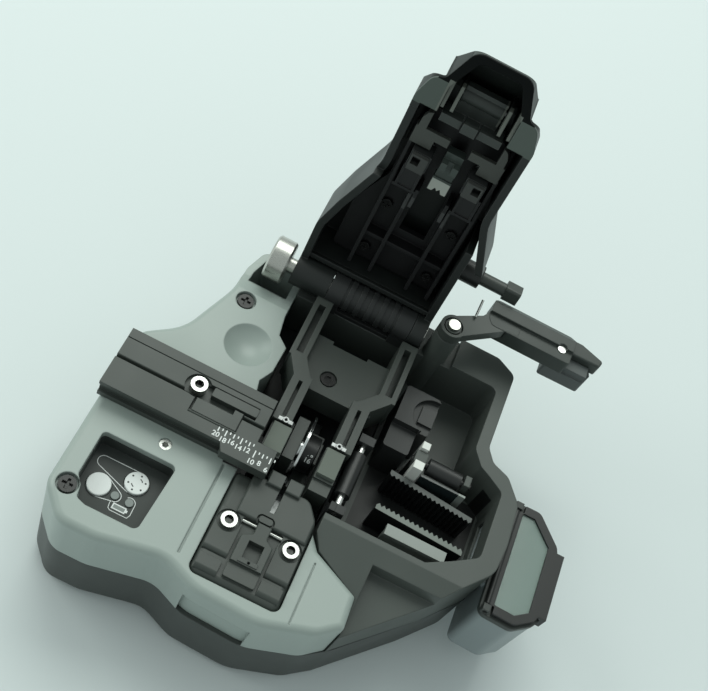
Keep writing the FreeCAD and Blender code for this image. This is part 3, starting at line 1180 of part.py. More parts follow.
def make_arm_nose():
    """Plate that sticks out past the end of the arm block."""
    x = ARM_BLOCK_X[1]
    nose = prism([(x, 57.2), (x + 8.2, 57.4, 0.6), (x + 8.8, 59.6, 0.8), (x + 2.2, 61.8, 0.8), (x, 61.8)],
                 46.6, 50.6)
    return nose.makeFillet(0.5, flat_edges(nose, 50.6))


def make_arm_pad():
    block = prism([(47.0, 53.2, 0.6), (58.6, 53.4, 0.8), (59.8, 56.6, 0.8), (58.4, 60.2, 0.8), (47.0, 60.2, 0.6)],
                  41.8, 46.2)
    stalk = box((ARM_BLOCK_X[1], 58.4), (53.8, 57.2), (46.2, 48.4))
    return cut(join(block, stalk), box((48.4, 57.6), (56.2, 57.2), (41.0, 42.8)))


def make_arm_pin2():
    x, y = ARM_PIN2
    return rod_z(x, y, (ARM_Z[0] + 0.4, ARM_Z[1] - 0.7), 1.2)


def make_arm_steel():
    """Bright pin of the arm block and the thin wire that draws the arm in."""
    return group(make_arm_pin2(), make_arm_wire())


def make_arm_wire():
    path = Part.Wire([Part.LineSegment(V(24.9, 52.6, LINK_Z[1]), V(24.9, 52.6, 52.0)).toShape(),
                      Part.LineSegment(V(24.9, 52.6, 52.0), V(24.9, 57.2, 53.4)).toShape()])
    parts = []
    for e in path.Edges:
        a = e.Vertexes[0].Point
        b = e.Vertexes[1].Point
        parts.append(Part.makeCylinder(0.35, (b - a).Length, a, b - a))
    parts.append(Part.makeSphere(0.35, V(24.9, 52.6, 52.0)))
    return join(*parts)


BOX_EDGE = [(55.3, 20.8, 2.0), (55.3, -11.3, 2.0), (64.4, -11.7, 3.0), (69.8, -7.8, 3.0),
            (69.8, 13.4, 3.0), (62.6, 20.9, 3.0)]


def make_collector():
    body = cut(prism(BOX_EDGE, BOX_Z[0], BOX_Z[1]), prism(inset(BOX_EDGE, BOX_WALL), BOX_Z[0] + BOX_WALL, 60.0))
    y = (NECK_Y[0] + GAP, NECK_Y[1] - GAP)
    z = (NECK_Z[0] + GAP, BOX_Z[1])
    neck = box((50.2, 56.0), y, z)
    inner = box((49.0, 60.0), (y[0] + 1.2, y[1] - 1.2), (z[0] + 1.2, z[1] + 1.0))
    return cut(join(body, neck), inner)


BOX_HINGE_X = 56.5
BOX_HINGE_R = 0.6
BOX_EARS = ((-11.2, -9.4), (18.6, 20.4))


def make_collector_rim():
    z = (BOX_Z[1], BOX_Z[1] + BOX_RIM)
    ring = cut(prism(inset(BOX_EDGE, -0.2), z[0], z[1]), prism(inset(BOX_EDGE, 2.4), z[0] - 1.0, z[1] + 1.0))
    ears = [box((BOX_HINGE_X - 1.0, BOX_HINGE_X + 1.0), y, (z[1], z[1] + 1.9)) for y in BOX_EARS]
    pin = rod_y(BOX_HINGE_X, (-20.0, 30.0), z[1] + 0.85, BOX_HINGE_R + FIT)
    return cut(join(ring, *ears), pin)


def make_collector_lid():
    """Clear lid with a ribbed, pierced closing strip on its outer edge."""
    z0 = BOX_Z[1] + BOX_RIM + 0.1
    z1 = z0 + BOX_LID_T
    plate = cut(prism(inset(BOX_EDGE, 0.5), z0, z1), prism(inset(BOX_EDGE, 2.8), z0 + 0.7, z1 + 1.0))
    x0 = BOX_EDGE[4][0] + 0.2 + CLEAR
    strip = box((x0, x0 + 1.2), (-6.4, 12.0), (z0 - 3.0, z1))
    bridge = box((68.6, x0 + 0.6), (-6.4, 12.0), (z0 + 0.3, z1))
    holes = [rod_x((x0 - 0.2, x0 + 2.0), -4.6 + 3.0 * k, z0 - 0.9, 0.6) for k in range(6)]
    ears = [box((50.0, BOX_HINGE_X + 1.8), (y[0] - 4.0 * (y[0] < 0), y[1] + 4.0 * (y[0] > 0)), (z0 - 1, z1 + 1))
            for y in ((-13.0, -9.1), (18.3, 22.0))]
    plate = cut(join(plate, bridge, strip), *holes, *ears)
    stub_z = z0 - 0.1 + 0.85
    stubs = [rod_y(BOX_HINGE_X, (BOX_EARS[0][0] + 0.3, -8.0), stub_z, BOX_HINGE_R),
             rod_y(BOX_HINGE_X, (17.2, BOX_EARS[1][1] - 0.3), stub_z, BOX_HINGE_R)]
    edge = box((BOX_HINGE_X - 0.7, BOX_HINGE_X + 1.5), (-9.0, 18.2), (z0, z1))
    round_edge = rod_y(BOX_HINGE_X, (-9.0, 18.2), stub_z, 0.75)
    return join(cut(plate, box((50.0, BOX_HINGE_X), (-9.1, 18.3), (z0 - 1.0, z1 + 1.0))), round_edge, *stubs,
                edge.common(box((BOX_HINGE_X, 60.0), (-20.0, 30.0), (0.0, 60.0))))


PARTS = {
    "rubber_mat": lambda: MAT,
    "lower_case": make_lower_case,
    "battery_door": make_battery_door,
    "battery_cells": make_cells,
    "battery_contacts": make_contacts,
    "chassis_plate": make_chassis,
    "circuit_board": make_circuit_board,
    "upper_cover": make_upper_cover,
    "bay_housing": make_bay_housing,
    "indicator_panel": make_panel,
    "link_button": lambda: make_button(LINK_BUTTON),
    "rotate_button": lambda: make_button(TURN_BUTTON),
    "indicator_lights": make_lights,
    "black_screws": make_black_screws,
    "plated_fasteners": make_plated_fasteners,
    "clamp_frame": make_clamp_frame,
    "lower_clamp_pads": make_lower_pads,
    "pad_clips": make_pad_clips,
    "blade_guide_rail": make_guide_rail,
    "blade_carriage": make_carriage,
    "blade": make_blade,
    "blade_turn_motor": make_turn_motor,
    "blade_unit_cover": make_unit_cover,
    "drive_roller": lambda: make_roller(ROLLER_Z),
    "pinch_roller": lambda: make_roller(ROLLER_Z - ROLLER_PITCH),
    "roller_bracket": make_roller_bracket,
    "front_comb": make_front_comb,
    "back_comb": make_back_comb,
    "comb_plates": make_comb_plates,
    "scrap_roller": make_scrap_roller,
    "spacer_blocks": make_white_blocks,
    "drive_case": make_drive_case,
    "hinge_block": make_hinge_block,
    "hinge_spring": make_hinge_spring,
    "fibre_adapter": make_adapter,
    "adapter_screw": make_adapter_screw,
    "adapter_flap": make_adapter_flap,
    "collector_box": make_collector,
    "collector_rim": make_collector_rim,
    "collector_lid": make_collector_lid,
    "arm_pivot_pin": make_arm_pin,
    "arm_link": make_arm_link,
    "arm_housing": make_arm_housing,
    "arm_nose": make_arm_nose,
    "arm_pad": make_arm_pad,
    "arm_pin_and_wire": make_arm_steel,
}

LID_PARTS = {
    "lid_shell": make_lid_shell,
    "lid_frame": make_lid_frame,
    "lid_screws": make_lid_screws,
    "clamp_springs": make_clamp_springs,
    "upper_clamp_left": lambda: make_upper_clamp(UPPER_XS[0]),
    "upper_clamp_right": lambda: make_upper_clamp(UPPER_XS[1]),
    "upper_pad_left": lambda: make_upper_pad(UPPER_XS[0]),
    "upper_pad_right": lambda: make_upper_pad(UPPER_XS[1]),
    "anvil": make_anvil,
    "thumb_latch": make_latch,
    "latch_pin": make_latch_pin,
    "hinge_pin": make_hinge_pin,
    "hinge_collar": make_collar,
    "lid_stub_shaft": make_stub,
}


def main():
    for name, make in PARTS.items():
        save(name, make())
    for name, make in LID_PARTS.items():
        save(name, opened(make()))


main()
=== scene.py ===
import bpy
import math
import numpy as np
from mathutils import Matrix, Vector


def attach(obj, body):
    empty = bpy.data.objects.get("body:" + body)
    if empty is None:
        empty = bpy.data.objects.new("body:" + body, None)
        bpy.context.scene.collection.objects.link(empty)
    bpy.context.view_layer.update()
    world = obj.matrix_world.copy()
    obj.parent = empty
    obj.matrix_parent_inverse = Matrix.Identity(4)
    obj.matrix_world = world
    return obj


# A hand-held fibre cleaver with its lid open, dressed on the CAD frame.
# Lengths are written in millimetres and made metres by MM.

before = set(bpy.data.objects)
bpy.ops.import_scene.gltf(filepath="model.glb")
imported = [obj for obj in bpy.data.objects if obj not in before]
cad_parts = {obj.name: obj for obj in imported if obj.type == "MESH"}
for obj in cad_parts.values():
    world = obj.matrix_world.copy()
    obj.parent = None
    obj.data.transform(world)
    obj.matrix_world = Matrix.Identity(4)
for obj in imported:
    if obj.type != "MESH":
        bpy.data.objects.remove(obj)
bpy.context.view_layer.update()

MM = 0.001

# The open lid: its hinge in mm, the way its outer face looks, and the turn and shift
# that carry a point of it to the lid's own axes: (x, length from the hinge, depth under
# the rim)
HINGE = Vector((0.0, 48.0, 41.5))
LID_OPEN = math.radians(100.0)
LID_OUTWARD = (0.0, math.sin(LID_OPEN), math.cos(LID_OPEN))
LID_TURN = LID_OPEN - math.pi
LID_SHIFT = -(Matrix.Rotation(LID_TURN, 3, "X") @ HINGE) * MM

# Sockets of the mix node by number: two inputs and the output, for colours and for numbers
COLOUR_PORTS = (6, 7, 2)
NUMBER_PORTS = (2, 3, 0)

# Numbers the finishes share: PLAIN for moulded pieces, MARK for the tool marks of metal,
# FLOW for clear plastic. Noise scales are per metre, soft is the rounding of an edge in mm,
# a relief is the strength of the bumps and their height in mm, and a spread is how far the
# roughness strays.
BEVEL_SAMPLES = 4
FINE_ROUGHNESS = 0.6
PLAIN_SCALE = 55.0
PLAIN_DETAIL = 2.0
PLAIN_RELIEF = (0.35, 0.02)
PLAIN_SPREAD = 0.06
PLAIN_SHINE = 0.5
COAT_ROUGHNESS = 0.25
MARK_SCALE = 900.0
MARK_DETAIL = 4.0
MARK_SHADE = 0.86
MARK_RELIEF = (0.2, 0.01)
MARK_SPREAD = (0.07, 0.1)
METAL_SOFT = 0.12
FLOW_SCALE = 120.0
FLOW_RELIEF = (0.15, 0.02)
FLOW_SPREAD = 0.08
CLEAR_SOFT = 0.3
CLEAR_IOR = 1.49

# An edge's wear and painted highlight is full or gone at these cosines between the rounded normal
# and the true one, and goes this far to white. A face looks outward from the lid, or up, beyond
# the other two.
EDGE_FULL = 0.72
EDGE_NONE = 0.985
EDGE_TO_WHITE = 0.25
OUTWARD_LIMIT = 0.3
UPWARD_LIMIT = 0.8


# Node helpers

class Paint:
    """A material under construction: makes nodes and joins their sockets."""

    def __init__(self, name):
        self.material = bpy.data.materials.new(name)
        self.material.use_nodes = True
        self.tree = self.material.node_tree
        self.tree.nodes.clear()
        self.shader = self.add("ShaderNodeBsdfPrincipled")
        output = self.add("ShaderNodeOutputMaterial")
        self.join(self.shader, "BSDF", output, "Surface")
        self.place = self.add("ShaderNodeTexCoord")

    @classmethod
    def reopen(cls, material):
        """A Paint on a finished material, to lay something over part of it."""
        paint = cls.__new__(cls)
        paint.material = material
        paint.tree = material.node_tree
        kinds = {node.bl_idname: node for node in paint.tree.nodes}
        paint.shader = kinds["ShaderNodeBsdfPrincipled"]
        paint.place = kinds["ShaderNodeTexCoord"]
        return paint

    def add(self, kind, **values):
        node = self.tree.nodes.new(kind)
        for key, value in values.items():
            setattr(node, key, value)
        return node

    def join(self, source, out_name, target, in_name):
        self.tree.links.new(source.outputs[out_name], target.inputs[in_name])

    def noise(self, scale, detail, roughness=0.5, stretch=None):
        """Noise on Object coordinates, optionally stretched along the axes."""
        node = self.add("ShaderNodeTexNoise")
        node.inputs["Scale"].default_value = scale
        node.inputs["Detail"].default_value = detail
        node.inputs["Roughness"].default_value = roughness
        if stretch is None:
            self.join(self.place, "Object", node, "Vector")
        else:
            mapping = self.add("ShaderNodeMapping")
            mapping.inputs["Scale"].default_value = stretch
            self.join(self.place, "Object", mapping, "Vector")
            self.join(mapping, "Vector", node, "Vector")
        return node

    def span(self, source, out_name, low, high, start=0.3, end=0.7):
        """A value carried from start..end, the usual reach of noise, to low..high."""
        node = self.add("ShaderNodeMapRange")
        node.inputs["From Min"].default_value = start
        node.inputs["From Max"].default_value = end
        node.inputs["To Min"].default_value = low
        node.inputs["To Max"].default_value = high
        self.join(source, out_name, node, "Value")
        return node

    def blend(self, factor, first, second):
        """Output that mixes two colours, each one a colour or an output."""
        node = self.add("ShaderNodeMix", data_type="RGBA")
        self.tree.links.new(factor, node.inputs[0])
        for port, colour in zip(COLOUR_PORTS, (first, second)):
            if isinstance(colour, tuple):
                node.inputs[port].default_value = (*colour, 1.0)
            else:
                self.tree.links.new(colour, node.inputs[port])
        return node.outputs[COLOUR_PORTS[2]]

    def inside(self, low, high, on_lid=False):
        """1 in the box from low to high in mm, else 0. On the lid the box is in its own axes."""
        parts = self.add("ShaderNodeSeparateXYZ")
        if on_lid:
            turned = self.add("ShaderNodeMapping")
            turned.inputs["Rotation"].default_value = (LID_TURN, 0.0, 0.0)
            turned.inputs["Location"].default_value = LID_SHIFT
            self.join(self.place, "Object", turned, "Vector")
            self.join(turned, "Vector", parts, "Vector")
        else:
            self.join(self.place, "Object", parts, "Vector")
        result = None
        for axis in range(3):
            for limit, operation in ((low[axis], "GREATER_THAN"), (high[axis], "LESS_THAN")):
                test = self.add("ShaderNodeMath", operation=operation)
                self.tree.links.new(parts.outputs[axis], test.inputs[0])
                test.inputs[1].default_value = limit * MM
                result = test if result is None else self.both(result, test)
        return result

    def facing(self, direction, limit, operation="GREATER_THAN"):
        """1 where the cosine of the object's own normal to the direction passes, else 0."""
        lean = self.add("ShaderNodeVectorMath", operation="DOT_PRODUCT")
        self.join(self.place, "Normal", lean, 0)
        lean.inputs[1].default_value = direction
        test = self.add("ShaderNodeMath", operation=operation)
        self.join(lean, "Value", test, 0)
        test.inputs[1].default_value = limit
        return test

    def both(self, first, second):
        """1 where both masks are 1, else 0."""
        product = self.add("ShaderNodeMath", operation="MULTIPLY")
        self.tree.links.new(first.outputs[0], product.inputs[0])
        self.tree.links.new(second.outputs[0], product.inputs[1])
        return product

    def near(self, spots, radius):
        """1 within radius mm of any of the upright lines at the spots (x, y), else 0."""
        flat = self.add("ShaderNodeVectorMath", operation="MULTIPLY")
        self.join(self.place, "Object", flat, 0)
        flat.inputs[1].default_value = (1.0, 1.0, 0.0)
        result = None
        for x, y in spots:
            gap = self.add("ShaderNodeVectorMath", operation="DISTANCE")
            self.join(flat, "Vector", gap, 0)
            gap.inputs[1].default_value = (x * MM, y * MM, 0.0)
            test = self.add("ShaderNodeMath", operation="LESS_THAN")
            self.tree.links.new(gap.outputs["Value"], test.inputs[0])
            test.inputs[1].default_value = radius * MM
            if result is not None:
                either = self.add("ShaderNodeMath", operation="MAXIMUM")
                self.tree.links.new(result.outputs[0], either.inputs[0])
                self.tree.links.new(test.outputs[0], either.inputs[1])
                test = either
            result = test
        return result

    def overlay(self, mask, socket, value):
        """Puts value on a shader socket where mask is 1, and keeps what it had elsewhere."""
        target = self.shader.inputs[socket]
        colour = target.type == "RGBA"
        node = self.add("ShaderNodeMix", data_type="RGBA" if colour else "FLOAT")
        before, laid, result = COLOUR_PORTS if colour else NUMBER_PORTS
        if target.is_linked:
            self.tree.links.new(target.links[0].from_socket, node.inputs[before])
        else:
            node.inputs[before].default_value = target.default_value
        node.inputs[laid].default_value = (*value, 1.0) if colour else value
        self.tree.links.new(mask.outputs[0], node.inputs[0])
        self.tree.links.new(node.outputs[result], target)

    def soften(self, radius):
        """Normal rounded over the edges by radius mm."""
        bevel = self.add("ShaderNodeBevel", samples=BEVEL_SAMPLES)
        bevel.inputs["Radius"].default_value = radius * MM
        return bevel

    def roughen(self, height, relief, bevel):
        """Bumps of the height node on the rounded normal, joined to the shader."""
        strength, depth = relief
        bump = self.add("ShaderNodeBump")
        bump.inputs["Strength"].default_value = strength
        bump.inputs["Distance"].default_value = depth * MM
        self.join(height, "Fac", bump, "Height")
        self.join(bevel, "Normal", bump, "Normal")
        self.join(bump, "Normal", self.shader, "Normal")


# Finishes by kind

NEUTRAL_BLACK = (0.012, 0.013, 0.013)


def moulded(name, colour, roughness, grain=2600.0, wear_and_highlight=0.18, soft=0.25, coat=0.0,
            metallic=0.0, shade=0.12):
    """Moulded or coated surface: fine grain, slow change of shade, softened edges made lighter by
    wear and a painted highlight.
    """
    paint = Paint(name)
    shader = paint.shader
    shader.inputs["Metallic"].default_value = metallic
    shader.inputs["Coat Weight"].default_value = coat
    shader.inputs["Coat Roughness"].default_value = COAT_ROUGHNESS
    slow = paint.noise(PLAIN_SCALE, PLAIN_DETAIL)
    darker = tuple(c * (1.0 - shade) for c in colour)
    lighter = tuple(min(1.0, c * (1.0 + shade)) for c in colour)
    tone = paint.blend(slow.outputs["Fac"], darker, lighter)
    bevel = paint.soften(soft)
    geometry = paint.add("ShaderNodeNewGeometry")
    lean = paint.add("ShaderNodeVectorMath", operation="DOT_PRODUCT")
    paint.join(bevel, "Normal", lean, 0)
    paint.join(geometry, "Normal", lean, 1)
    # Edges lighter towards white: part wear, part painted highlight.
    edge = paint.span(lean, "Value", wear_and_highlight, 0.0, EDGE_FULL, EDGE_NONE)
    worn_and_lit = tuple(min(1.0, c + EDGE_TO_WHITE * (1.0 - c)) for c in colour)
    painted = paint.blend(edge.outputs["Result"], tone, worn_and_lit)
    paint.tree.links.new(painted, shader.inputs["Base Color"])
    fine = paint.noise(grain, PLAIN_DETAIL, FINE_ROUGHNESS)
    gloss = paint.span(slow, "Fac", roughness - PLAIN_SPREAD, roughness + PLAIN_SPREAD)
    paint.join(gloss, "Result", shader, "Roughness")
    paint.roughen(fine, PLAIN_RELIEF, bevel)
    return paint.material


def turned_metal(name, colour, roughness, stretch=(1.0, 1.0, 1.0)):
    """Machined or plated metal: fine tool marks in the gloss and bump, softened edges."""
    paint = Paint(name)
    shader = paint.shader
    shader.inputs["Metallic"].default_value = 1.0
    marks = paint.noise(MARK_SCALE, MARK_DETAIL, FINE_ROUGHNESS, stretch)
    tone = paint.blend(marks.outputs["Fac"], tuple(c * MARK_SHADE for c in colour), colour)
    paint.tree.links.new(tone, shader.inputs["Base Color"])
    gloss = paint.span(marks, "Fac", roughness - MARK_SPREAD[0], roughness + MARK_SPREAD[1])
    paint.join(gloss, "Result", shader, "Roughness")
    paint.roughen(marks, MARK_RELIEF, paint.soften(METAL_SOFT))
    return paint.material


def clear_plastic(name, colour, roughness, alpha):
    """Clear or frosted moulding, with faint flow marks."""
    paint = Paint(name)
    shader = paint.shader
    shader.inputs["Base Color"].default_value = (*colour, 1.0)
    shader.inputs["Alpha"].default_value = alpha
    shader.inputs["IOR"].default_value = CLEAR_IOR
    flow = paint.noise(FLOW_SCALE, PLAIN_DETAIL)
    gloss = paint.span(flow, "Fac", roughness, roughness + FLOW_SPREAD)
    paint.join(gloss, "Result", shader, "Roughness")
    paint.roughen(flow, FLOW_RELIEF, paint.soften(CLEAR_SOFT))
    return paint.material


# Boxes (low, high) in mm inside which a finish changes
CLEAR_PANE = ((57.9, -8.7, 20.0), (67.1, 18.0, 32.15))
BAY_SHADE_BOX = ((18.2, -9.9, 10.0), (49.0, 18.8, 33.0))
BLADE_HUB = ((0.32, -20.0, 20.0), (9.0, 30.0, 50.0))
ROLLER_SLEEVE = ((9.0, -3.85, 20.0), (18.0, 8.25, 45.0))
GLAZED_PLATE = ((20.0, 5.0, 0.0), (40.2, 40.0, 60.0))

# Middles of the two screws of the blade unit and the screw of the rail, and the radius of the
# painted shade in their sockets
SOCKETS = ((-8.2, -22.6), (7.5, -22.7), (-28.7, 2.4))
SOCKET_R = 1.1


def window_lid(name):
    """Black moulding with a clear pane."""
    paint = Paint.reopen(moulded(name, NEUTRAL_BLACK, 0.42, wear_and_highlight=0.16, soft=0.3))
    pane = paint.inside(*CLEAR_PANE)
    paint.overlay(pane, "Base Color", (0.34, 0.44, 0.4))
    paint.overlay(pane, "Alpha", 0.5)
    paint.overlay(pane, "Roughness", 0.1)
    return paint.material


def zoned(name, colour, gloss, zones, wear_and_highlight=0.16, soft=0.4):
    """Dark piece of the lid with zones (low, high, colour, shine) in the lid's own axes.

    Faces that look outward, like the lid's outer face, keep their finish.
    """
    paint = Paint.reopen(moulded(name, colour, gloss, wear_and_highlight=wear_and_highlight, soft=soft))
    inner = paint.facing(LID_OUTWARD, OUTWARD_LIMIT, "LESS_THAN")
    for low, high, shade, shine in zones:
        zone = paint.both(paint.inside(low, high, True), inner)
        paint.overlay(zone, "Base Color", shade)
        paint.overlay(zone, "Specular IOR Level", shine)
    return paint.material


def part_black(name, metal_colour, metal_gloss, box, gloss=0.42):
    """Bright metal, black in the box."""
    paint = Paint.reopen(turned_metal(name, metal_colour, metal_gloss, (1.0, 6.0, 6.0)))
    coated = paint.inside(*box)
    paint.overlay(coated, "Base Color", NEUTRAL_BLACK)
    paint.overlay(coated, "Metallic", 0.0)
    paint.overlay(coated, "Roughness", gloss)
    return paint.material


def socket_screws(name):
    """Plated screws, with painted shade in their sockets."""
    paint = Paint.reopen(turned_metal(name, (0.6, 0.61, 0.58), 0.3))
    # A dark disc on each screw head: painted shade of its socket.
    socket = paint.near(SOCKETS, SOCKET_R)
    paint.overlay(socket, "Base Color", (0.05, 0.052, 0.05))
    return paint.material


def comb(name, top):
    """Toothed strip, black, with a painted highlight on its upward faces that leaves its sides
    dark.
    """
    paint = Paint.reopen(moulded(name, (0.006, 0.007, 0.007), 0.5, wear_and_highlight=0.03, soft=0.15))
    # Upward faces get the pale colour top: painted highlight.
    paint.overlay(paint.facing((0.0, 0.0, 1.0), UPWARD_LIMIT), "Base Color", top)
    return paint.material


def comb_plates(name):
    """Pale plate in front, and a dark glazed one at the back with a pale end."""
    paint = Paint.reopen(moulded(name, (0.3, 0.33, 0.31), 0.4, wear_and_highlight=0.1, soft=0.15))
    glazed = paint.inside(*GLAZED_PLATE)
    paint.overlay(glazed, "Base Color", (0.02, 0.028, 0.03))
    paint.overlay(glazed, "Roughness", 0.12)
    return paint.material


def bay_black(name):
    """The case's black, with painted shade deep in the bay."""
    paint = Paint.reopen(moulded(name, (0.068, 0.079, 0.072), 0.48, wear_and_highlight=0.14, soft=0.45))
    # Painted shade in the deep part of the bay.
    paint.overlay(paint.inside(*BAY_SHADE_BOX), "Base Color", (0.008, 0.009, 0.009))
    return paint.material


def beside(inner, outer, start, end, above, below, colour):
    """The zones at both sides of the lid, from inner to outer in x and start to end along it."""
    return (((-outer, start, above), (-inner, end, below), colour, PLAIN_SHINE),
            ((inner, start, above), (outer, end, below), colour, PLAIN_SHINE))


# Finishes of the cleaver

COVER_GREY = moulded("cover_grey", (0.33, 0.385, 0.36), 0.42, grain=3200.0, wear_and_highlight=0.25,
                     soft=0.5, coat=0.15, shade=0.05)
CASE_BLACK = moulded("case_black", (0.044, 0.051, 0.047), 0.48, wear_and_highlight=0.14, soft=0.45)
LID_BLACK = moulded("lid_black", (0.037, 0.046, 0.041), 0.46, wear_and_highlight=0.16, soft=0.4)
COAT_BLACK = moulded("coat_black", (0.047, 0.056, 0.05), 0.44, grain=4200.0, wear_and_highlight=0.22,
                     soft=0.2)
COAT_DARK = moulded("coat_dark", (0.02, 0.022, 0.022), 0.5, grain=4200.0, soft=0.2)
PAD_BLACK = moulded("pad_black", (0.13, 0.15, 0.128), 0.62, grain=5200.0, wear_and_highlight=0.08,
                    soft=0.15)
RUBBER_BLACK = moulded("rubber_black", (0.024, 0.025, 0.025), 0.7, grain=1800.0, wear_and_highlight=0.06,
                       soft=0.3)
SCRAP_BLACK = moulded("scrap_roller_black", (0.02, 0.021, 0.021), 0.38, grain=2400.0,
                      wear_and_highlight=0.05, soft=0.15)
PANEL_DARK = moulded("panel_dark", (0.04, 0.047, 0.044), 0.55, wear_and_highlight=0.05, soft=0.2)
KEY_DARK = moulded("key_dark", (0.03, 0.033, 0.032), 0.45, wear_and_highlight=0.08, soft=0.2)
LAMP_PALE = moulded("lamp_pale", (0.2, 0.23, 0.22), 0.35, wear_and_highlight=0.02, soft=0.2)
INK_WHITE = moulded("ink_white", (0.82, 0.85, 0.84), 0.5, wear_and_highlight=0.0, soft=0.05, shade=0.03)
BLOCK_WHITE = moulded("block_white", (0.82, 0.84, 0.8), 0.45, wear_and_highlight=0.04, soft=0.15,
                      shade=0.04)
BOARD_GREEN = moulded("board_green", (0.02, 0.12, 0.06), 0.4)
CELL_BLUE = moulded("cell_blue", (0.08, 0.16, 0.4), 0.3)
COMB_LIT_PALE = comb("comb_lit_pale", (0.19, 0.215, 0.195))
COMB_LIT_DIM = comb("comb_lit_dim", (0.1, 0.11, 0.105))
COMB_PLATES = comb_plates("comb_plates")
SCREW_BLACK = moulded("screw_black", (0.03, 0.03, 0.03), 0.3, wear_and_highlight=0.25, soft=0.15,
                      metallic=0.6)
STEEL_BRIGHT = turned_metal("steel_bright", (0.78, 0.79, 0.76), 0.2)
STEEL_SATIN = turned_metal("steel_satin", (0.62, 0.62, 0.58), 0.3, (1.0, 12.0, 12.0))
STEEL_DARK = turned_metal("steel_dark", (0.3, 0.31, 0.31), 0.35)
BLADE_GROUND = part_black("blade_ground", (0.8, 0.82, 0.82), 0.14, BLADE_HUB)
ROLLER_BLACK = part_black("roller_black", (0.7, 0.71, 0.69), 0.25, ROLLER_SLEEVE, 0.36)
SCREW_PLATED = socket_screws("screw_plated")
BAY_BLACK = bay_black("bay_black")
ARM_PAD_GREY = moulded("arm_pad_grey", (0.1, 0.113, 0.112), 0.6, grain=1800.0, wear_and_highlight=0.06,
                       soft=0.3)
COLLECTOR_LID = window_lid("collector_lid_black")
UPPER_BLACK = moulded("upper_clamp_black", (0.02, 0.022, 0.022), 0.44, grain=4200.0,
                      wear_and_highlight=0.16, soft=0.2)
UPPER_PAD = moulded("upper_pad_grey", (0.05, 0.053, 0.05), 0.6, grain=5200.0, wear_and_highlight=0.1,
                    soft=0.15)
BOX_FROSTED = clear_plastic("box_frosted", (0.32, 0.37, 0.38), 0.3, 0.8)

# Inside of the lid. The mouth of its tip starts at TIP and its side walls step in at STEP;
# DEEP and PAST lie beyond the shell, over and under its rim.
TIP, STEP, END = 61.2, 69.2, 82.0
RIM, DEEP, PAST = -0.6, -30.0, 30.0
# Painted highlight of the sloping shoulders beside the tip.
LIT_SHOULDER = (0.08, 0.1, 0.088)
# Painted highlight on the fins.
LIT_FIN = (0.14, 0.15, 0.132)
LID_SHELL = zoned("lid_shell_black", (0.013, 0.016, 0.015), 0.46, (
    # The first two zones darken the tip's pocket and its rim: painted shade.
    ((-16.0, TIP, DEEP), (16.0, END, RIM), (0.009, 0.011, 0.01), 0.2),
    ((-16.0, STEP, RIM), (16.0, END, 5.0), (0.005, 0.006, 0.006), 0.08),
    # A painted highlight on the tip's end face.
    ((-8.0, 77.4, DEEP), (8.0, END, RIM), (0.05, 0.06, 0.055), PLAIN_SHINE),
    *beside(9.0, 16.0, TIP, STEP, RIM, 3.0, LIT_SHOULDER),
    *beside(7.2, 9.0, TIP, STEP + 1.0, -3.5, 3.0, LIT_FIN),
    *beside(4.8, 6.7, TIP, STEP, -3.5, 3.0, LIT_FIN)))
LID_FRAME = zoned("lid_frame_black", (0.007, 0.007, 0.008), 0.5, (
    ((-13.0, 49.0, -6.0), (13.0, 59.5, PAST), (0.06, 0.065, 0.058), PLAIN_SHINE),
    ((-6.0, 30.0, -6.0), (6.0, 35.0, PAST), (0.05, 0.052, 0.052), PLAIN_SHINE)),
    wear_and_highlight=0.14, soft=0.2)
ANVIL_DARK = zoned("anvil_dark", (0.05, 0.065, 0.058), 0.42, (
    ((-2.0, 38.9, -6.0), (4.4, 42.9, PAST), (0.42, 0.44, 0.4), PLAIN_SHINE),),
    wear_and_highlight=0.22, soft=0.15)
# The zones at both sides are the inner fins' painted highlight.
LATCH_BLACK = zoned("latch_black", (0.04, 0.047, 0.043), 0.44,
                    beside(5.0, 7.0, 61.4, 70.5, -8.0, PAST, (0.14, 0.15, 0.13)),
                    wear_and_highlight=0.4, soft=0.25)

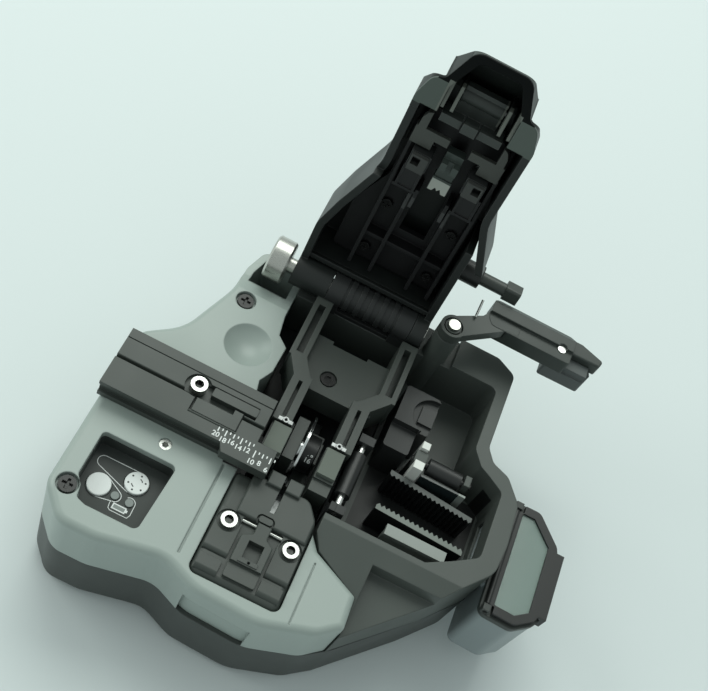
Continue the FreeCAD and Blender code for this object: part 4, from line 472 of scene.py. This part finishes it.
FINISHES = {
    "rubber_mat": RUBBER_BLACK, "lower_case": CASE_BLACK, "battery_door": CASE_BLACK,
    "battery_cells": CELL_BLUE, "battery_contacts": STEEL_BRIGHT, "chassis_plate": COAT_DARK,
    "circuit_board": BOARD_GREEN, "upper_cover": COVER_GREY, "bay_housing": BAY_BLACK,
    "indicator_panel": PANEL_DARK, "link_button": INK_WHITE, "rotate_button": INK_WHITE,
    "indicator_lights": LAMP_PALE, "black_screws": SCREW_BLACK, "plated_fasteners": SCREW_PLATED,
    "clamp_frame": COAT_BLACK, "lower_clamp_pads": PAD_BLACK, "pad_clips": STEEL_DARK,
    "blade_guide_rail": STEEL_DARK, "blade_carriage": COAT_BLACK, "blade": BLADE_GROUND,
    "blade_turn_motor": STEEL_DARK, "blade_unit_cover": COAT_BLACK, "drive_roller": ROLLER_BLACK,
    "pinch_roller": ROLLER_BLACK, "roller_bracket": COAT_DARK, "front_comb": COMB_LIT_PALE,
    "back_comb": COMB_LIT_DIM, "comb_plates": COMB_PLATES, "scrap_roller": SCRAP_BLACK,
    "spacer_blocks": BLOCK_WHITE, "drive_case": COAT_DARK, "hinge_block": COAT_DARK,
    "hinge_spring": STEEL_DARK, "fibre_adapter": COAT_BLACK, "adapter_screw": SCREW_PLATED,
    "adapter_flap": COAT_BLACK, "collector_box": BOX_FROSTED, "collector_rim": CASE_BLACK,
    "collector_lid": COLLECTOR_LID, "arm_pivot_pin": STEEL_SATIN, "arm_link": COAT_BLACK,
    "arm_housing": LID_BLACK, "arm_nose": LID_BLACK, "arm_pad": ARM_PAD_GREY,
    "arm_pin_and_wire": STEEL_BRIGHT, "lid_shell": LID_SHELL, "lid_frame": LID_FRAME,
    "lid_screws": SCREW_BLACK, "clamp_springs": STEEL_DARK, "upper_clamp_left": UPPER_BLACK,
    "upper_clamp_right": UPPER_BLACK, "upper_pad_left": UPPER_PAD, "upper_pad_right": UPPER_PAD,
    "anvil": ANVIL_DARK, "thumb_latch": LATCH_BLACK, "latch_pin": STEEL_DARK,
    "hinge_pin": STEEL_SATIN, "hinge_collar": STEEL_SATIN, "lid_stub_shaft": COAT_BLACK,
}


# Printed marks: heights of the faces they lie on, and places seen from above, in mm

INK_LIFT = 0.03
INK_SPREAD = 0.03
PANEL_Z = 31.3
PANEL_INK = PANEL_Z + INK_LIFT
PANEL_LINE = 0.17
KEY_INK = PANEL_Z + 0.7 + INK_LIFT
KEY_R = 2.9
LINK_KEY = (-38.4, -25.9)
TURN_KEY = (-30.9, -21.6)
TURN_FIELD = (-40.1, -20.1)
LOOP_GAP = 0.1
LOOP_END_R = 1.45
LINK_LAMP = (-33.9, -26.6)
CELL_LAMP = (-30.2, -26.7)
DOT_RING_R = 2.0
DOT_R = 0.24
ARC_R = 1.25
ARC_WIDTH = 0.25

# Rule: x of its zero, y where its lines start before and after the step, their lengths
# (at odd values, at even ones, and the longer ones), and the row of each number
RULE_INK = 43.5 + INK_LIFT
RULE_ZERO = 0.2
RULE_STEP = 10
RULE_TOPS = (-5.0, -6.3)
RULE_WIDTH = 0.28
RULE_ODD = 0.65
RULE_EVEN = 1.15
RULE_LONG = {18: 1.65, 14: 1.65, 10: 2.0, 6: 1.65}
RULE_ROWS = {20: -7.1, 18: -7.7, 16: -7.3, 14: -7.7, 12: -7.3, 10: -9.5, 8: -9.0, 6: -9.7}

# Drum of the blade: its axis, its radius with the ink, and the angles of its marks
DRUM_Y, DRUM_Z = 5.5, 32.2
DRUM_R = 4.8 + INK_LIFT
NUMBER_ANGLE = math.radians(42.0)
DOT_ANGLE = NUMBER_ANGLE + 0.32

# Numerals: height as a share of the font's size, and steps along a curve
NUMERAL_SHARE = 0.7
NUMERAL_STEPS = 4


def put(name, mesh, finish, body):
    """Object of the mesh in one finish, which rides on a body."""
    mesh.materials.append(finish)
    obj = bpy.data.objects.new(name, mesh)
    bpy.context.scene.collection.objects.link(obj)
    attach(obj, body)


def piece(name, points, faces, finish, body):
    """Flat piece from points in mm."""
    mesh = bpy.data.meshes.new(name)
    mesh.from_pydata([tuple(float(c) * MM for c in p) for p in points], [], faces)
    put(name, mesh, finish, body)


def unit(rows):
    """Rows brought to length 1."""
    return rows / np.linalg.norm(rows, axis=1)[:, None]


def ribbon(name, path, width, z, finish, body):
    """Flat line of ink: p(t) +- n(t) width / 2 along the path, n square to it."""
    path = np.array(path, float)
    steps = unit(np.diff(path, axis=0))
    along = unit(np.vstack([steps, steps[-1:]]) + np.vstack([steps[:1], steps]))
    normal = np.stack([-along[:, 1], along[:, 0]], axis=1) * width / 2.0
    n = len(path)
    points = [(*p, z) for p in path + normal] + [(*p, z) for p in path - normal]
    faces = [(k, n + k, n + k + 1, k + 1) for k in range(n - 1)]
    piece(name, points, faces, finish, body)


def spot(centre, radius, degrees):
    """Point centre + radius (cos, sin) of the angle."""
    angle = math.radians(degrees)
    return (centre[0] + radius * math.cos(angle), centre[1] + radius * math.sin(angle))


def arc(centre, radius, start, end, steps):
    """Points of a circle from the angle start to end, in degrees."""
    return [spot(centre, radius, angle) for angle in np.linspace(start, end, steps)]


def bag_outline(big, big_r, small, small_r):
    """Line that leaves a disc on its two tangents and runs round a smaller one."""
    dx = small[0] - big[0]
    dy = small[1] - big[1]
    heading = math.degrees(math.atan2(dy, dx))
    lean = math.degrees(math.acos((big_r - small_r) / math.hypot(dx, dy)))
    bend = arc(small, small_r, heading + lean, heading - lean, 24)
    return [spot(big, big_r, heading + lean), *bend, spot(big, big_r, heading - lean)]


def patch(name, outline, z, finish, body):
    """Flat piece inside an outline of points (x, y)."""
    piece(name, [(*p, z) for p in outline], [tuple(range(len(outline)))], finish, body)


def letters(name, text, place, height, finish, body, tilt=0.0):
    """Flat numerals whose middle is at place in mm, tilted back about X by tilt."""
    curve = bpy.data.curves.new(name, "FONT")
    curve.body = text
    curve.size = height * MM / NUMERAL_SHARE
    curve.align_x = "CENTER"
    curve.align_y = "CENTER"
    curve.resolution_u = NUMERAL_STEPS
    curve.offset = INK_SPREAD * MM
    maker = bpy.data.objects.new(name, curve)
    mesh = bpy.data.meshes.new_from_object(maker)
    bpy.data.objects.remove(maker)
    mesh.transform(Matrix.Translation(Vector(place) * MM) @ Matrix.Rotation(tilt, 4, "X"))
    mesh.materials.clear()
    put(name, mesh, finish, body)


def make_rule():
    """Millimetre rule on the rail: a step down from 11 to 10, and a number every second line."""
    for value in range(5, 21):
        x = RULE_ZERO - value
        top = RULE_TOPS[value <= RULE_STEP]
        length = RULE_ODD if value % 2 else RULE_LONG.get(value, RULE_EVEN)
        ends = [(x, top), (x, top - length)]
        ribbon(f"rule_line_{value}", ends, RULE_WIDTH, RULE_INK, INK_WHITE, "adapter")
    for value, y in RULE_ROWS.items():
        place = (0.1 - value, y, RULE_INK)
        letters(f"rule_number_{value}", str(value), place, 1.3, INK_WHITE, "adapter")


def make_panel_marks():
    """White lines that tie each button to its lamp or name field, and a cell sign."""
    turn = bag_outline(TURN_KEY, KEY_R + LOOP_GAP, TURN_FIELD, LOOP_END_R)
    link = bag_outline(LINK_KEY, KEY_R + LOOP_GAP, LINK_LAMP, LOOP_END_R)
    cell = arc(CELL_LAMP, 1.4, 130.0, 0.0, 14) + [
        (-28.7, -29.3), (-29.1, -30.2), (-33.4, -30.2),
        (-34.0, -29.8), (-34.2, -28.4), (-33.8, -27.9)]
    for name, path in (("turn_line", turn), ("link_line", link), ("cell_line", cell)):
        ribbon(name, path, PANEL_LINE, PANEL_INK, INK_WHITE, "base")
    sign = [(-33.4, -29.6), (-30.0, -29.6), (-30.0, -29.2), (-29.6, -29.2),
            (-29.6, -28.5), (-30.0, -28.5), (-30.0, -28.1), (-33.4, -28.1)]
    hole = [(-33.1, -29.3), (-30.3, -29.3), (-30.3, -28.4), (-33.1, -28.4)]
    patch("cell_sign", sign, PANEL_INK, INK_WHITE, "base")
    patch("cell_sign_window", hole, PANEL_INK + 0.02, LAMP_PALE, "base")


def make_key_marks():
    """Six dots and two short arcs on the turning button."""
    for k in range(6):
        middle = spot(TURN_KEY, DOT_RING_R, 60.0 * k + 22.0)
        dot = arc(middle, DOT_R, 0.0, 337.5, 16)
        patch(f"turn_dot_{k}", dot, KEY_INK, KEY_DARK, "rotate_key")
    for k, start in enumerate((30.0, 210.0)):
        sweep = arc(TURN_KEY, ARC_R, start, start + 45.0, 10)
        ribbon(f"turn_arc_{k}", sweep, ARC_WIDTH, KEY_INK, KEY_DARK, "rotate_key")


def write_on_drum(name, text, x, angle, height):
    """Letters on the drum, at x along it and the angle up from its front."""
    place = (x, DRUM_Y - DRUM_R * math.cos(angle), DRUM_Z + DRUM_R * math.sin(angle))
    letters(name, text, place, height, INK_WHITE, "blade_wheel", math.pi / 2.0 - angle)


def make_drum_number():
    """Blade position number on the drum, and two small marks over it."""
    write_on_drum("drum_number", "16", 2.3, NUMBER_ANGLE, 1.25)
    write_on_drum("drum_dot_0", ".", 2.0, DOT_ANGLE, 0.8)
    write_on_drum("drum_dot_1", "o", 2.9, DOT_ANGLE, 0.8)


def finish_frame_nodes():
    """Gives every node of the frame its finish."""
    for name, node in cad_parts.items():
        node.data.materials.clear()
        node.data.materials.append(FINISHES[name])


# Studio

# Camera fitted to the photograph: place in mm, angles, lens and sensor in mm, near in m
CAMERA_PLACE = (-12.0, -134.2, 279.3)
CAMERA_AZIMUTH = math.radians(-4.2)
CAMERA_HEIGHT = math.radians(54.6)
CAMERA_ROLL = math.radians(30.5)
CAMERA_LENS = 58.47
CAMERA_SENSOR = 36.0
CAMERA_NEAR = 0.01

# Floor, with half its side in m, and the light from all round
FLOOR_COLOUR = (0.73, 0.79, 0.795)
FLOOR_ROUGHNESS = 0.9
FLOOR_HALF = 4.0
WORLD_COLOUR = (0.86, 0.96, 0.94)
WORLD_STRENGTH = 0.5

# Name, place in mm, size in m and power in W of each soft light, and where they look
SOFTBOXES = (
    ("key_box", (-120.0, 620.0, 900.0), (0.9, 0.7), 6.5),
    ("side_box", (-900.0, 100.0, 600.0), (0.6, 0.6), 3.0),
)
LIGHT_COLOUR = (0.94, 1.0, 0.94)
LIGHT_TARGET = Vector((0.0, 0.0, 30.0))


def aim(obj, place, back, side):
    """Stands obj at place in mm, with its -Z away from back and its +X along side."""
    up = back.cross(side)
    turn = Matrix((side, up, back)).transposed()
    obj.matrix_world = Matrix.Translation(Vector(place) * MM) @ turn.to_4x4()


def make_camera():
    """Camera of the photograph."""
    data = bpy.data.cameras.new("camera")
    data.lens = CAMERA_LENS
    data.sensor_width = CAMERA_SENSOR
    data.clip_start = CAMERA_NEAR
    camera = bpy.data.objects.new("camera", data)
    bpy.context.scene.collection.objects.link(camera)
    az, el, roll = CAMERA_AZIMUTH, CAMERA_HEIGHT, CAMERA_ROLL
    back = Vector((math.sin(az) * math.cos(el), -math.cos(az) * math.cos(el), math.sin(el)))
    level = Vector((math.cos(az), math.sin(az), 0.0))
    side = level * math.cos(roll) + back.cross(level) * math.sin(roll)
    aim(camera, CAMERA_PLACE, back, side)
    bpy.context.scene.camera = camera


def make_softbox(name, place, size, power):
    """Rectangular light that looks at LIGHT_TARGET."""
    data = bpy.data.lights.new(name, "AREA")
    data.shape = "RECTANGLE"
    data.size, data.size_y = size
    data.energy = power
    data.color = LIGHT_COLOUR
    lamp = bpy.data.objects.new(name, data)
    bpy.context.scene.collection.objects.link(lamp)
    back = (Vector(place) - LIGHT_TARGET).normalized()
    side = Vector((0.0, 0.0, 1.0)).cross(back).normalized()
    aim(lamp, place, back, side)


def make_floor():
    """Large flat square under the cleaver."""
    turns = ((-1, -1), (1, -1), (1, 1), (-1, 1))
    corners = [(x * FLOOR_HALF, y * FLOOR_HALF, 0.0) for x, y in turns]
    mesh = bpy.data.meshes.new("floor")
    mesh.from_pydata(corners, [], [(0, 1, 2, 3)])
    floor = bpy.data.objects.new("floor", mesh)
    bpy.context.scene.collection.objects.link(floor)
    paint = Paint("floor_pale")
    paint.shader.inputs["Base Color"].default_value = (*FLOOR_COLOUR, 1.0)
    paint.shader.inputs["Roughness"].default_value = FLOOR_ROUGHNESS
    mesh.materials.append(paint.material)


def make_world():
    """Even pale light from all round."""
    world = bpy.data.worlds.new("studio")
    world.use_nodes = True
    back = world.node_tree.nodes["Background"]
    back.inputs["Color"].default_value = (*WORLD_COLOUR, 1.0)
    back.inputs["Strength"].default_value = WORLD_STRENGTH
    bpy.context.scene.world = world


def make_studio():
    """Camera, floor and lights."""
    make_camera()
    make_floor()
    make_world()
    for box in SOFTBOXES:
        make_softbox(*box)
    bpy.context.scene.view_settings.view_transform = "Standard"


finish_frame_nodes()
make_rule()
make_panel_marks()
make_key_marks()
make_drum_number()
make_studio()
